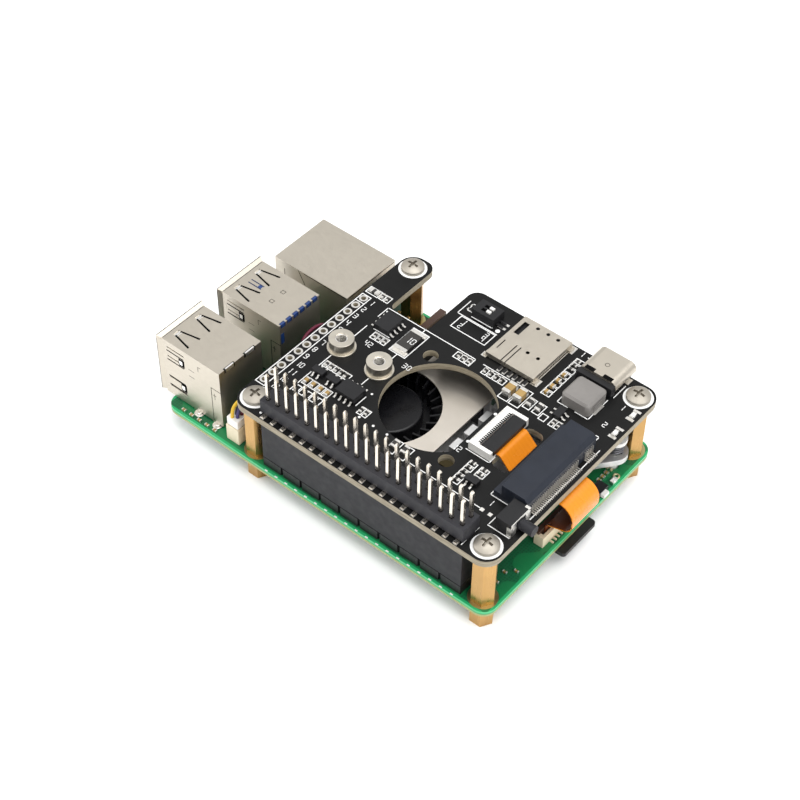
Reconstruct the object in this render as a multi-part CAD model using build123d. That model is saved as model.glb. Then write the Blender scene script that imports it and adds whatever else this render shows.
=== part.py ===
"""Single board computer with a stacked expansion board, a blower cooler and brass standoffs.

Frame, in millimetres: the origin is the centre of the mounting hole rectangle, on the plane
where the feet stand.  +Z is up, +X points to the memory card end, -X to the USB and network
ports, and -Y to the pin header side.
"""
from build123d import *
import math
import os

# ---------------------------------------------------------------- driving dimensions
FIT = 0.05                       # clearance between pieces that are assembled together
SEAT = 0.3                       # running clearance round a moving piece

HOLE_SPAN_X = 58.0               # mounting holes, centre to centre
HOLE_SPAN_Y = 49.0
BOARD_HOLE_R = 1.35
THREAD_R = 1.25                  # M2.5 thread, as the wall of the tapped hole
STUD_R = 1.2

FOOT_HEIGHT = 5.0
STANDOFF_HEIGHT = 13.8
HEX_FLATS = 4.5

BOARD_MARGIN = 3.5               # from a mounting hole's centre to the board's edge
PORT_END = 23.5                  # main board past the holes, where the ports stand
MAIN_THICKNESS = 1.4
MAIN_CORNER_R = 3.0

UPPER_OVERHANG = 0.2             # upper board past the main board at its two long sides
UPPER_THICKNESS = 1.6
UPPER_CORNER_R = 3.5

HEADER_COLUMNS = 20
PIN_PITCH = 2.54
PIN_SIZE = 0.64
HEADER_HOLE_R = 0.51
HEADER_Y = -HOLE_SPAN_Y / 2
LOWER_BASE_HEIGHT = 2.5
LOWER_PIN_REACH = 6.0            # above the lower header's base
LOWER_PIN_TAIL = 1.4             # below the main board
UPPER_BASE_LIFT = 0.3
UPPER_BASE_HEIGHT = 3.5
UPPER_PIN_REACH = 7.0            # above the upper header's base

USB_WIDTH = 12.4
USB_LENGTH = 16.2
USB_HEIGHT = 16.0
USB_OVERHANG = 2.0               # shell past the main board's end
USB2_INSET = 9.0                 # port centre from the main board's pin header side
USB3_INSET = 26.9
USB_REAR_BULGE = 0.1             # moulding behind the shell
USB_PORT_HEIGHT = 5.3
USB_WALL = 0.3
USB_BACK_DEPTH = 5.3             # moulding that fills the back of the shell
USB_REAR_CORNER = 2.5            # rear wall left standing at each side of the moulding
USB_REAR_HEIGHT = 2.4            # opening in the rear wall, for the contact tails

ETHERNET_WIDTH = 15.8
ETHERNET_LENGTH = 20.5
ETHERNET_HEIGHT = 13.5
ETHERNET_OVERHANG = 2.9
ETHERNET_INSET = 45.8
JACK_WIDTH = 11.7
JACK_HEIGHT = 7.4
JACK_DEPTH = 13.0

FAN_X = -10.8
FAN_Y = -4.9
IMPELLER_R = 11.3
INTAKE_R = IMPELLER_R - 0.5      # round hole in the cover
SCROLL_R = IMPELLER_R + 2.2      # outside of the blower's round wall
HUB_R = 6.9
HUB_WALL = 0.7
BLADE_COUNT = 27
BLADE_LENGTH = 2.7
BLADE_THICKNESS = 0.4
BLADE_SLANT = 24
SHAFT_R = 0.75

SINK_BASE_Z = 2.8                # heatsink underside above the main board
SINK_BASE_T = 1.5
COVER_TOP = 9.9                  # cooler cover above the main board
COVER_T = 0.4
COVER_EDGE_X = 4.1
FIN_START_X = 5.0
FIN_END_X = 25.4
FIN_THICKNESS = 3.0
FIN_PITCH = 4.75
FIN_START_Y = -13.4
FIN_COUNT = 6
COVER_POSTS = ((-23.5, 10.5), (1.5, 10.5))
COVER_POST_R = 1.6
COVER_REACH_X = 15.2             # cover past the fan's middle, towards the ports
COVER_REACH_Y = 18.4             # and towards the camera connectors
COVER_BACK_Y = 13.1              # and towards the pin header
COVER_PIN_GAP = 1.8              # round the push pin's head
SCROLL_WALL = 1.2
SINK_X0 = -28.0
SINK_Y0 = -15.6
SINK_Y1 = 12.6
FIN_DROP = 0.8                   # fin tops below the cover's top
EAR_R = 2.9
PUSH_PINS = ((28.5, 18.8), (-24.5, -17.6))
PUSH_PIN_R = 1.15
PUSH_PIN_HOLE_R = 1.5
PUSH_PIN_EAR_HOLE_R = 1.6
PUSH_PIN_HEAD_R = 2.4
PUSH_PIN_HEAD_HEIGHT = 1.0
SPRING_R = 1.75
SPRING_WIRE_R = 0.22
SPRING_TURNS = 4
SPRING_HEIGHT = 3.2

RIBBON_WIDTH = 8.7
RIBBON_Y = -1.6
RIBBON_T = 0.25
RIBBON_OVERHANG = 3.0            # how far the ribbon's loop stands out past the boards
RIBBON_CONNECTOR_WIDTH = RIBBON_WIDTH + 3.6
LOWER_RIBBON_INSET = 2.9         # lower ribbon connector's middle from the main board's end

NUT_R = 2.65
NUT_FLANGE_R = 3.05
NUT_HEIGHT = 2.8
NUT_THREAD_R = 1.0
NUT_Y = -3.1
NUT_XS = (-15.0, -25.0)

M2_WIDTH = 21.9
M2_HEIGHT = 4.2
M2_FRONT_X = 24.2
M2_DEPTH = 6.2

CARD_WIDTH = 11.0
CARD_LENGTH = 15.0
CARD_T = 1.0
CARD_OVERHANG = 1.7              # card past the main board's end
CARD_Y = 0.2

NOTCH_X0 = -25.2                 # cut-out in the upper board for the camera ribbons
NOTCH_X1 = -14.9
NOTCH_Y0 = 12.2
NOTCH_OUTER_R = 2.6
NOTCH_INNER_R = 1.6
D_HOLE_X = 0.3                   # vent over the fan: a round hole with one flat
D_HOLE_Y = -3.1
D_HOLE_R = 11.9
D_HOLE_FLAT_X = 9.6
SLOT_X0 = 17.0                   # where the ribbon goes down through the upper board
SLOT_X1 = 21.3
SLOT_Y0 = -8.3
SLOT_Y1 = 4.2
SLOT_CORNER_R = 1.5
SIDE_HOLES_INSET = 1.5
SIDE_HOLES_Y = 10.75
SIDE_HOLE_COUNT = 13
SIDE_HOLE_R = 0.5
SPARE_HOLES = ((-9.7, 6.8), (10.3, -13.1))
SPARE_HOLE_R = 1.6

# ---------------------------------------------------------------- levels and hole places
MAIN_BOTTOM = FOOT_HEIGHT
MAIN_TOP = MAIN_BOTTOM + MAIN_THICKNESS
UPPER_BOTTOM = MAIN_TOP + STANDOFF_HEIGHT
UPPER_TOP = UPPER_BOTTOM + UPPER_THICKNESS
MAIN_X0 = -HOLE_SPAN_X / 2 - PORT_END
MAIN_X1 = HOLE_SPAN_X / 2 + BOARD_MARGIN
MAIN_Y1 = HOLE_SPAN_Y / 2 + BOARD_MARGIN
UPPER_X1 = MAIN_X1
UPPER_Y1 = MAIN_Y1 + UPPER_OVERHANG
USB_FRONT_X = MAIN_X0 - USB_OVERHANG
USB2_Y = USB2_INSET - MAIN_Y1
USB3_Y = USB3_INSET - MAIN_Y1
ETHERNET_FRONT_X = MAIN_X0 - ETHERNET_OVERHANG
ETHERNET_Y = ETHERNET_INSET - MAIN_Y1
SINK_BOTTOM = MAIN_TOP + SINK_BASE_Z
SINK_TOP = SINK_BOTTOM + SINK_BASE_T
COVER_TOP_Z = MAIN_TOP + COVER_TOP
COVER_BOTTOM_Z = COVER_TOP_Z - COVER_T
FIN_TOP_Z = COVER_TOP_Z - FIN_DROP

HOLES = [(sx * HOLE_SPAN_X / 2, sy * HOLE_SPAN_Y / 2) for sx in (-1, 1) for sy in (-1, 1)]
HEADER_X0 = -(HEADER_COLUMNS - 1) * PIN_PITCH / 2
HEADER_HALF = HEADER_COLUMNS * PIN_PITCH / 2
HEADER_PINS = [
    (HEADER_X0 + column * PIN_PITCH, HEADER_Y + row * PIN_PITCH / 2)
    for column in range(HEADER_COLUMNS)
    for row in (-1, 1)
]


# ---------------------------------------------------------------- helpers
def block(x0, x1, y0, y1, z0, z1):
    """An axis-aligned box between two corners."""
    middle = ((x0 + x1) / 2, (y0 + y1) / 2, (z0 + z1) / 2)
    return Pos(*middle) * Box(x1 - x0, y1 - y0, z1 - z0)


def post(x, y, z0, z1, radius):
    """A round upright post or hole."""
    return Pos(x, y, (z0 + z1) / 2) * Cylinder(radius, z1 - z0)


def hex_post(x, y, z0, z1, flats):
    """A six-sided upright post, with two flats facing +Y and -Y."""
    profile = RegularPolygon(flats / math.sqrt(3), 6)
    return Pos(x, y, z0) * extrude(profile, z1 - z0)


def slab(x0, x1, y0, y1, z0, z1, radius):
    """A plate with four rounded upright corners."""
    profile = RectangleRounded(x1 - x0, y1 - y0, radius)
    return Pos((x0 + x1) / 2, (y0 + y1) / 2, z0) * extrude(profile, z1 - z0)


def rod_x(x0, x1, y, z, radius):
    """A round bar or hole along X."""
    return Pos((x0 + x1) / 2, y, z) * Rot(0, 90, 0) * Cylinder(radius, x1 - x0)


def save(name, *pieces):
    """Write one node: each piece is a solid, or a shape that holds some."""
    solids = [solid for piece in pieces for solid in piece.solids()]
    whole = solids[0] if len(solids) == 1 else Compound(children=solids)
    export_step(whole, f"parts/{name}.step")


# ---------------------------------------------------------------- boards
def make_main_board():
    board = slab(MAIN_X0, MAIN_X1, -MAIN_Y1, MAIN_Y1, MAIN_BOTTOM, MAIN_TOP, MAIN_CORNER_R)
    through = (MAIN_BOTTOM - 1, MAIN_TOP + 1)
    holes = [post(x, y, *through, BOARD_HOLE_R) for x, y in HOLES]
    holes += [post(x, y, *through, PUSH_PIN_HOLE_R) for x, y in PUSH_PINS]
    holes += [post(x, y, *through, HEADER_HOLE_R) for x, y in HEADER_PINS]
    save("main_board", board - holes)


def make_upper_board():
    z0, z1 = UPPER_BOTTOM, UPPER_TOP
    board = slab(-UPPER_X1, UPPER_X1, -UPPER_Y1, UPPER_Y1, z0, z1, UPPER_CORNER_R)
    notch = block(NOTCH_X0, NOTCH_X1, NOTCH_Y0, UPPER_Y1 + 1, z0 - 1, z1 + 1)
    board = board - notch
    ends = [e for e in board.edges().filter_by(Axis.Z) if abs(e.center().Y - UPPER_Y1) < 0.1]
    ends = [e for e in ends if min(abs(e.center().X - x) for x in (NOTCH_X0, NOTCH_X1)) < 0.1]
    board = fillet(ends, NOTCH_OUTER_R)
    corner = [e for e in board.edges().filter_by(Axis.Z)
              if abs(e.center().X - NOTCH_X0) < 0.1 and abs(e.center().Y - NOTCH_Y0) < 0.1]
    board = fillet(corner, NOTCH_INNER_R)
    through = (z0 - 1, z1 + 1)
    vent = post(D_HOLE_X, D_HOLE_Y, *through, D_HOLE_R)
    vent -= block(D_HOLE_FLAT_X, D_HOLE_X + D_HOLE_R + 1, -UPPER_Y1, UPPER_Y1, z0 - 2, z1 + 2)
    holes = [vent, slab(SLOT_X0, SLOT_X1, SLOT_Y0, SLOT_Y1, *through, SLOT_CORNER_R)]
    holes += [post(x, y, *through, BOARD_HOLE_R) for x, y in HOLES]
    holes += [post(x, y, *through, SPARE_HOLE_R) for x, y in SPARE_HOLES]
    side_x = SIDE_HOLES_INSET - UPPER_X1
    holes += [post(side_x, SIDE_HOLES_Y - i * PIN_PITCH, *through, SIDE_HOLE_R)
              for i in range(SIDE_HOLE_COUNT)]
    save("upper_board", board - holes)


# ---------------------------------------------------------------- fasteners
FOOT_BORE_DEPTH = 3.6
STUD_REACH = 3.5                 # the feet's studs, above the main board
STANDOFF_BORE_DEPTH = 6.0        # at the top, for the screws
SCREW_REACH = 4.5                # screw shank below the upper board
SCREW_HEAD_R = 2.5
SCREW_HEAD_HEIGHT = 1.5
SCREW_DOME_R = 4.6
RECESS_HALF_LENGTH = 1.3
RECESS_HALF_WIDTH = 0.28
RECESS_DEPTH = 0.9


def make_fasteners():
    feet = []
    posts = []
    screws = []
    for x, y in HOLES:
        foot = hex_post(x, y, 0, FOOT_HEIGHT, HEX_FLATS)
        foot -= post(x, y, -1, FOOT_BORE_DEPTH, THREAD_R)
        foot += post(x, y, FOOT_HEIGHT, MAIN_TOP + STUD_REACH, STUD_R)
        feet.append(foot)
        bar = hex_post(x, y, MAIN_TOP, UPPER_BOTTOM, HEX_FLATS)
        bar -= post(x, y, MAIN_TOP - 1, MAIN_TOP + STUD_REACH + 1, THREAD_R)
        bar -= post(x, y, UPPER_BOTTOM - STANDOFF_BORE_DEPTH, UPPER_BOTTOM + 1, THREAD_R)
        posts.append(bar)
        screws.append(make_screw(x, y))
    save("board_feet", *feet)
    save("board_standoffs", *posts)
    save("upper_screws", *screws)


def make_screw(x, y):
    """A pan head cross recess screw that clamps the upper board to its standoff."""
    top = UPPER_TOP + SCREW_HEAD_HEIGHT
    head = post(x, y, UPPER_TOP, top, SCREW_HEAD_R)
    head = head & (Pos(x, y, top - SCREW_DOME_R) * Sphere(SCREW_DOME_R))
    long, wide = RECESS_HALF_LENGTH, RECESS_HALF_WIDTH
    recess = block(x - long, x + long, y - wide, y + wide, top - RECESS_DEPTH, top + 1)
    recess += block(x - wide, x + wide, y - long, y + long, top - RECESS_DEPTH, top + 1)
    shank = post(x, y, UPPER_BOTTOM - SCREW_REACH, UPPER_TOP + 0.5, STUD_R)
    return head + shank - recess


# ---------------------------------------------------------------- pin headers
def square_pin(z0, z1):
    """A square pin on the Z axis, with both ends tapered."""
    tip = 0.5
    shaft = block(-PIN_SIZE / 2, PIN_SIZE / 2, -PIN_SIZE / 2, PIN_SIZE / 2, z0 + tip, z1 - tip)
    ends = [e for e in (shaft.faces().sort_by(Axis.Z)[-1], shaft.faces().sort_by(Axis.Z)[0])]
    return shaft + extrude(ends[0], tip, taper=20) + extrude(ends[1], tip, taper=20)


def make_lower_header():
    half = PIN_PITCH
    base_top = MAIN_TOP + LOWER_BASE_HEIGHT
    base = block(-HEADER_HALF, HEADER_HALF, HEADER_Y - half, HEADER_Y + half, MAIN_TOP, base_top)
    cuts = [block(x - PIN_SIZE / 2 - FIT, x + PIN_SIZE / 2 + FIT, y - PIN_SIZE / 2 - FIT,
                  y + PIN_SIZE / 2 + FIT, MAIN_TOP - 1, base_top + 1) for x, y in HEADER_PINS]
    for i in range(1, HEADER_COLUMNS // 2):
        x = -HEADER_HALF + i * 2 * PIN_PITCH
        for side in (-1, 1):
            y = HEADER_Y + side * half
            cuts.append(block(x - 0.3, x + 0.3, y - 0.4, y + 0.4, MAIN_TOP - 1, base_top + 1))
    save("lower_header_base", base - cuts)
    pin = square_pin(MAIN_BOTTOM - LOWER_PIN_TAIL, base_top + LOWER_PIN_REACH)
    save("lower_header_pins", *[Pos(x, y, 0) * pin for x, y in HEADER_PINS])
    body = block(-HEADER_HALF, HEADER_HALF, HEADER_Y - half, HEADER_Y + half,
                 base_top, UPPER_BOTTOM)
    reach = base_top + LOWER_PIN_REACH + 0.6
    wide = PIN_SIZE / 2 + 0.15
    sockets = [block(x - wide, x + wide, y - wide, y + wide, base_top - 1, reach)
               for x, y in HEADER_PINS]
    save("stacking_socket", body - sockets)


def make_upper_header():
    half = PIN_PITCH - 0.1
    z0 = UPPER_TOP + UPPER_BASE_LIFT
    z1 = z0 + UPPER_BASE_HEIGHT
    base = block(-HEADER_HALF, HEADER_HALF, HEADER_Y - half, HEADER_Y + half, z0, z1)
    wide = PIN_SIZE / 2 + FIT
    cuts = [block(x - wide, x + wide, y - wide, y + wide, z0 - 1, z1 + 1) for x, y in HEADER_PINS]
    ends = [block(s * HEADER_HALF - 0.5, s * HEADER_HALF + 0.5, HEADER_Y - 1.2, HEADER_Y + 1.2,
                  UPPER_TOP, z0) for s in (-1, 1)]
    feet = [end & block(-HEADER_HALF, HEADER_HALF, HEADER_Y - half, HEADER_Y + half,
                        UPPER_TOP, z0) for end in ends]
    save("upper_header_base", base - cuts + feet)
    pins = []
    for column in range(HEADER_COLUMNS):
        x = HEADER_X0 + column * PIN_PITCH
        for row in (-1, 1):
            pins.append(Pos(x, HEADER_Y, 0) * Rot(0, 0, 0 if row < 0 else 180) * surface_pin(z1))
    save("upper_header_pins", *pins)


def surface_pin(base_top):
    """A header pin whose foot bends outward along -Y and lies on the board."""
    offset = -PIN_PITCH / 2
    foot_end = -(PIN_PITCH + 0.75)
    pin = Pos(0, offset, 0) * square_pin(UPPER_TOP - 0.5, base_top + UPPER_PIN_REACH)
    pin = pin & block(-1, 1, offset - 1, offset + 1, UPPER_TOP, base_top + UPPER_PIN_REACH + 1)
    foot = block(-PIN_SIZE / 2, PIN_SIZE / 2, foot_end, offset, UPPER_TOP, UPPER_TOP + 0.25)
    return pin + foot


# ---------------------------------------------------------------- USB ports
def usb_levels():
    """Heights of the lower and upper port mouths above the main board: (low, high) pairs."""
    top = USB_HEIGHT - USB_WALL
    lower = 1.7
    return ((lower, lower + USB_PORT_HEIGHT), (top - USB_PORT_HEIGHT, top))


def make_usb(name, y):
    x0 = USB_FRONT_X
    x1 = x0 + USB_LENGTH
    y0 = y - USB_WIDTH / 2
    y1 = y + USB_WIDTH / 2
    z0 = MAIN_TOP
    z1 = MAIN_TOP + USB_HEIGHT
    low, high = usb_levels()
    inner_y0 = y0 + USB_WALL
    inner_y1 = y1 - USB_WALL
    inner_x1 = x1 - USB_WALL
    shell = block(x0, x1, y0, y1, z0 + 0.4, z1)
    shell -= block(x0 - 1, inner_x1, inner_y0, inner_y1, z0 - 1, z1 - USB_WALL)
    back = x1 - USB_BACK_DEPTH
    divider = block(x0, back, inner_y0, inner_y1, z0 + low[1], z0 + high[0])
    divider -= block(x0 + USB_WALL, inner_x1, inner_y0 - 1, inner_y1 + 1,
                     z0 + low[1] + USB_WALL, z0 + high[0] - USB_WALL)
    floor = block(x0, back, inner_y0, inner_y1, z0 + low[0] - USB_WALL, z0 + low[0])
    shell += [divider, floor]
    shell -= block(inner_x1 - 1, x1 + 1, y0 + USB_REAR_CORNER, y1 - USB_REAR_CORNER,
                   z0 - 1, z0 + USB_REAR_HEIGHT)
    cuts = []
    for side in (-1, 1):
        centre = y + side * USB_WIDTH / 4
        cuts += spring_tongue_cuts(x0 + 2.1, centre, z1)
    for level in (low, high):
        mid = z0 + (level[0] + level[1]) / 2
        for step in (-1.3, 1.3):
            z = mid + step
            cuts.append(block(x0 + 1.4, x0 + 6.2, y0 - 1, y1 + 1, z - 0.15, z + 0.15))
    shell -= cuts
    legs = [block(x, x + 1.4, side_y - 0.15, side_y + 0.15, z0, z0 + 1)
            for x in (x0 + 7.8, x0 + 13.2) for side_y in (y0 + 0.15, y1 - 0.15)]
    shell += legs
    flares = [flare(x0, y0, y1, z1 - USB_PORT_HEIGHT - 0.2, z1)]
    save(f"{name}_shell", shell + flares)
    make_usb_insert(name, x0, x1, inner_y0 + FIT, inner_y1 - FIT)


def spring_tongue_cuts(x, y, z):
    """Two slanted slots that leave a tapered spring tongue in the shell's top, and a window."""
    cuts = []
    for side in (-1, 1):
        slot = Box(4.4, 0.3, 3)
        cuts.append(Pos(x + 1.9, y + side * 1.15, z) * Rot(0, 0, side * 9) * slot)
    cuts.append(block(x - 0.9, x - 0.1, y - 0.85, y + 0.85, z - 1, z + 1))
    return cuts


def flare(x0, y0, y1, z0, z1):
    """The upper port's lip, a thin frame that opens outward at the front."""
    out = 1.0
    spread = 0.55
    t = 0.25
    z0 = z0 - 0.3
    inner = Pos(x0, (y0 + y1) / 2, (z0 + z1) / 2)
    near = inner * Rot(0, -90, 0) * Rectangle(z1 - z0, y1 - y0)
    far = inner * Pos(-out, 0, 0) * Rot(0, -90, 0) * Rectangle(
        z1 - z0 + 2 * spread, y1 - y0 + 2 * spread)
    near_hole = inner * Rot(0, -90, 0) * Rectangle(z1 - z0 - 2 * t, y1 - y0 - 2 * t)
    far_hole = inner * Pos(-out, 0, 0) * Rot(0, -90, 0) * Rectangle(
        z1 - z0 + 2 * spread - 2 * t, y1 - y0 + 2 * spread - 2 * t)
    return loft([near, far]) - loft([near_hole, far_hole])


def make_usb_insert(name, x0, x1, y0, y1):
    """The moulding that fills the back of the shell and carries the two contact tongues."""
    low, high = usb_levels()
    back = x1 - USB_WALL - FIT
    front = x1 - USB_BACK_DEPTH + USB_WALL
    top = MAIN_TOP + USB_HEIGHT - USB_WALL - FIT
    side = USB_REAR_CORNER - USB_WALL + FIT
    body = block(front, back, y0, y1, MAIN_TOP + 0.1, top)
    body += block(back - 1, x1 + USB_REAR_BULGE, y0 + side, y1 - side,
                  MAIN_TOP, MAIN_TOP + USB_REAR_HEIGHT - FIT * 4)
    contacts = []
    for level in (low, high):
        roof = MAIN_TOP + level[1]
        tongue_top = roof - 0.9
        tongue = block(x0 + 2.2, front + 1, y0 + 0.6, y1 - 0.6, tongue_top - 1.8, tongue_top)
        body += tongue
        middle = (y0 + y1) / 2
        for place in (-3.5, -1.0, 1.0, 3.5):
            y = middle + place
            under = tongue_top - 1.8
            contacts.append(block(x0 + 3.0, front - 0.2, y - 0.5, y + 0.5, under - 0.2, under))
    save(f"{name}_insert", body)
    save(f"{name}_contacts", *contacts)


# ---------------------------------------------------------------- network port
def make_ethernet():
    x0 = ETHERNET_FRONT_X
    x1 = x0 + ETHERNET_LENGTH
    y0 = ETHERNET_Y - ETHERNET_WIDTH / 2
    y1 = ETHERNET_Y + ETHERNET_WIDTH / 2
    z0 = MAIN_TOP
    z1 = z0 + ETHERNET_HEIGHT
    wall = USB_WALL
    shell = block(x0, x1, y0, y1, z0 + 0.3, z1)
    shell -= block(x0 + wall, x1 - wall, y0 + wall, y1 - wall, z0 - 1, z1 - wall)
    mouth_z0 = z0 + 2.4
    mouth_z1 = mouth_z0 + JACK_HEIGHT
    mouth_y0 = ETHERNET_Y - JACK_WIDTH / 2
    mouth_y1 = ETHERNET_Y + JACK_WIDTH / 2
    latch_half = 3.0
    mouth = block(x0 - 1, x0 + 1, mouth_y0, mouth_y1, mouth_z0, mouth_z1)
    mouth += block(x0 - 1, x0 + 1, ETHERNET_Y - latch_half, ETHERNET_Y + latch_half,
                   mouth_z0 - 1.6, mouth_z0 + 1)
    shell -= mouth
    shell -= [block(x0 + 1.5, x0 + 6, y - 1, y + 1, z0 + 5 + dz, z0 + 5.3 + dz)
              for y in (y0, y1) for dz in (0, 2.6)]
    shell += [block(x0 + dx, x0 + dx + 1.6, y, y + wall, z0, z0 + 1)
              for dx in (6.5, 15.0) for y in (y0, y1 - wall)]
    save("ethernet_shell", shell)
    body = block(x0 + wall + FIT, x1 - wall - FIT, y0 + wall + FIT, y1 - wall - FIT,
                 z0, z1 - wall - FIT)
    cavity = block(x0 - 1, x0 + JACK_DEPTH, mouth_y0, mouth_y1, mouth_z0, mouth_z1)
    cavity += block(x0 - 1, x0 + 7, ETHERNET_Y - latch_half, ETHERNET_Y + latch_half,
                    mouth_z0 - 1.6, mouth_z0 + 1)
    save("ethernet_housing", body - cavity)
    wires = []
    for i in range(8):
        y = ETHERNET_Y + (i - 3.5) * 1.02
        wire = Pos(x0 + 7.6, y, mouth_z1 - 0.65) * Rot(0, 6, 0) * Box(9.0, 0.35, 0.3)
        wires.append(wire & block(x0, x0 + JACK_DEPTH - FIT, y - 1, y + 1,
                                  mouth_z0, mouth_z1))
    save("ethernet_contacts", *wires)


# ---------------------------------------------------------------- cooler
def make_heatsink():
    base = slab(SINK_X0, FIN_END_X, SINK_Y0, SINK_Y1, SINK_BOTTOM, SINK_TOP, 2.0)
    for x, y in PUSH_PINS:
        base += post(x, y, SINK_BOTTOM, SINK_TOP, EAR_R)
        reach_x = min(max(x, SINK_X0 + EAR_R + 2), FIN_END_X - EAR_R - 1) - x
        reach_y = min(max(y, SINK_Y0 + 3), SINK_Y1 - 3) - y
        arm = Box(math.hypot(reach_x, reach_y), 2 * EAR_R, SINK_BASE_T)
        turn = math.degrees(math.atan2(reach_y, reach_x))
        middle = Pos(x + reach_x / 2, y + reach_y / 2, (SINK_BOTTOM + SINK_TOP) / 2)
        base += middle * Rot(0, 0, turn) * arm
    base -= [post(x, y, SINK_BOTTOM - 1, SINK_TOP + 1, PUSH_PIN_EAR_HOLE_R)
             for x, y in PUSH_PINS]
    fins = []
    for i in range(FIN_COUNT):
        y = FIN_START_Y + i * FIN_PITCH
        fins.append(block(FIN_START_X, FIN_END_X, y - FIN_THICKNESS / 2, y + FIN_THICKNESS / 2,
                          SINK_TOP, FIN_TOP_Z))
    base += fins
    base += [post(x, y, SINK_TOP, COVER_BOTTOM_Z, COVER_POST_R) for x, y in COVER_POSTS]
    save("heatsink", base)


def make_blower():
    """A radial fan: a scroll wall on the heatsink, a sheet cover, a motor and an impeller."""
    floor = SINK_TOP
    wall_out = SCROLL_R
    wall_in = wall_out - SCROLL_WALL
    scroll = post(FAN_X, FAN_Y, floor, COVER_BOTTOM_Z, wall_out)
    scroll -= post(FAN_X, FAN_Y, floor - 1, COVER_BOTTOM_Z + 1, wall_in)
    scroll -= block(FAN_X, FAN_X + 20, FAN_Y - wall_in, FAN_Y + wall_in - 1,
                    floor - 1, COVER_BOTTOM_Z + 1)
    lip_y = FAN_Y + wall_in - 1
    for y in (lip_y, FAN_Y - wall_out):
        scroll += block(FAN_X + 3, COVER_EDGE_X - 0.4, y, y + SCROLL_WALL,
                        floor, COVER_BOTTOM_Z)
    save("blower_housing", scroll)
    cover = slab(FAN_X - COVER_REACH_X, COVER_EDGE_X, FAN_Y - COVER_BACK_Y,
                 FAN_Y + COVER_REACH_Y, COVER_BOTTOM_Z, COVER_TOP_Z, 1.5)
    cover -= post(FAN_X, FAN_Y, COVER_BOTTOM_Z - 1, COVER_TOP_Z + 1, INTAKE_R)
    pin_x, pin_y = PUSH_PINS[1]
    cover -= post(pin_x, pin_y, COVER_BOTTOM_Z - 1, COVER_TOP_Z + 1,
                  PUSH_PIN_HEAD_R + COVER_PIN_GAP)
    save("blower_cover", cover)
    make_impeller(floor)


def make_impeller(floor):
    disc_z = floor + 0.7
    hub_top = COVER_BOTTOM_Z - 0.5
    blade_top = COVER_BOTTOM_Z - 0.35
    hub = post(FAN_X, FAN_Y, disc_z, hub_top, HUB_R)
    rim = [e for e in hub.edges().filter_by(GeomType.CIRCLE) if e.center().Z > hub_top - 0.1]
    hub = fillet(rim, 0.5)
    inner_r = HUB_R - HUB_WALL
    hub -= post(FAN_X, FAN_Y, disc_z - 1, hub_top - HUB_WALL, inner_r)
    disc = post(FAN_X, FAN_Y, disc_z, disc_z + 0.5, IMPELLER_R)
    disc -= post(FAN_X, FAN_Y, disc_z - 1, disc_z + 1, inner_r)
    shaft = post(FAN_X, FAN_Y, floor + 0.6, hub_top - 0.5, SHAFT_R)
    impeller = hub + disc + shaft
    blade_r = IMPELLER_R - 0.2 - BLADE_LENGTH / 2
    blades = []
    for i in range(BLADE_COUNT):
        angle = 360 / BLADE_COUNT * i
        blade = Pos(blade_r, 0, (disc_z + blade_top) / 2) * Rot(0, 0, BLADE_SLANT) * Box(
            BLADE_LENGTH, BLADE_THICKNESS, blade_top - disc_z)
        blades.append(Pos(FAN_X, FAN_Y, 0) * Rot(0, 0, angle) * blade)
    save("fan_impeller", impeller + blades)
    stator_r = inner_r - SEAT
    stator = post(FAN_X, FAN_Y, floor, floor + 0.4, stator_r)
    stator += post(FAN_X, FAN_Y, floor, hub_top - 1.4, 2.2)
    stator += post(FAN_X, FAN_Y, floor + 1.2, hub_top - 1.6, stator_r - 0.3)
    stator -= [Pos(FAN_X, FAN_Y, 0) * Rot(0, 0, a) * block(2.6, 8, -0.6, 0.6, floor + 1.1, 30)
               for a in range(0, 360, 60)]
    stator -= post(FAN_X, FAN_Y, floor + 0.5, 30, SHAFT_R + FIT)
    save("fan_motor", stator)


def make_push_pins():
    head_z = SINK_TOP + SPRING_HEIGHT
    pins = []
    springs = []
    for x, y in PUSH_PINS:
        pin = post(x, y, MAIN_BOTTOM - 0.4, head_z, PUSH_PIN_R)
        pin += post(x, y, head_z, head_z + PUSH_PIN_HEAD_HEIGHT, PUSH_PIN_HEAD_R)
        barb = Pos(x, y, MAIN_BOTTOM - 1.9) * Cone(0.6, 1.7, 1.8, align=(
            Align.CENTER, Align.CENTER, Align.MIN))
        pin += barb
        pins.append(pin)
        spring = coil_spring(SPRING_R, SPRING_WIRE_R, SPRING_HEIGHT, SPRING_TURNS)
        springs.append(Pos(x, y, SINK_TOP) * spring)
    save("push_pins", *pins)
    save("push_pin_springs", *springs)


def coil_spring(radius, wire_r, height, turns):
    """A compression spring that stands on Z = 0."""
    rise = height - 2 * wire_r - 0.04
    path = Helix(rise / turns, rise, radius)
    path = Pos(0, 0, wire_r + 0.02) * path
    start = path @ 0
    section = Plane(start, z_dir=path % 0) * Circle(wire_r)
    return sweep(section, path=path, is_frenet=True)


# ---------------------------------------------------------------- fan lead
FAN_SOCKET_INSET = 3.6           # socket's side from the mounting hole's centre
FAN_SOCKET_LENGTH = 3.4
FAN_SOCKET_WIDTH = 3.7
FAN_SOCKET_HEIGHT = 4.3
LEAD_R = 0.38


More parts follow.
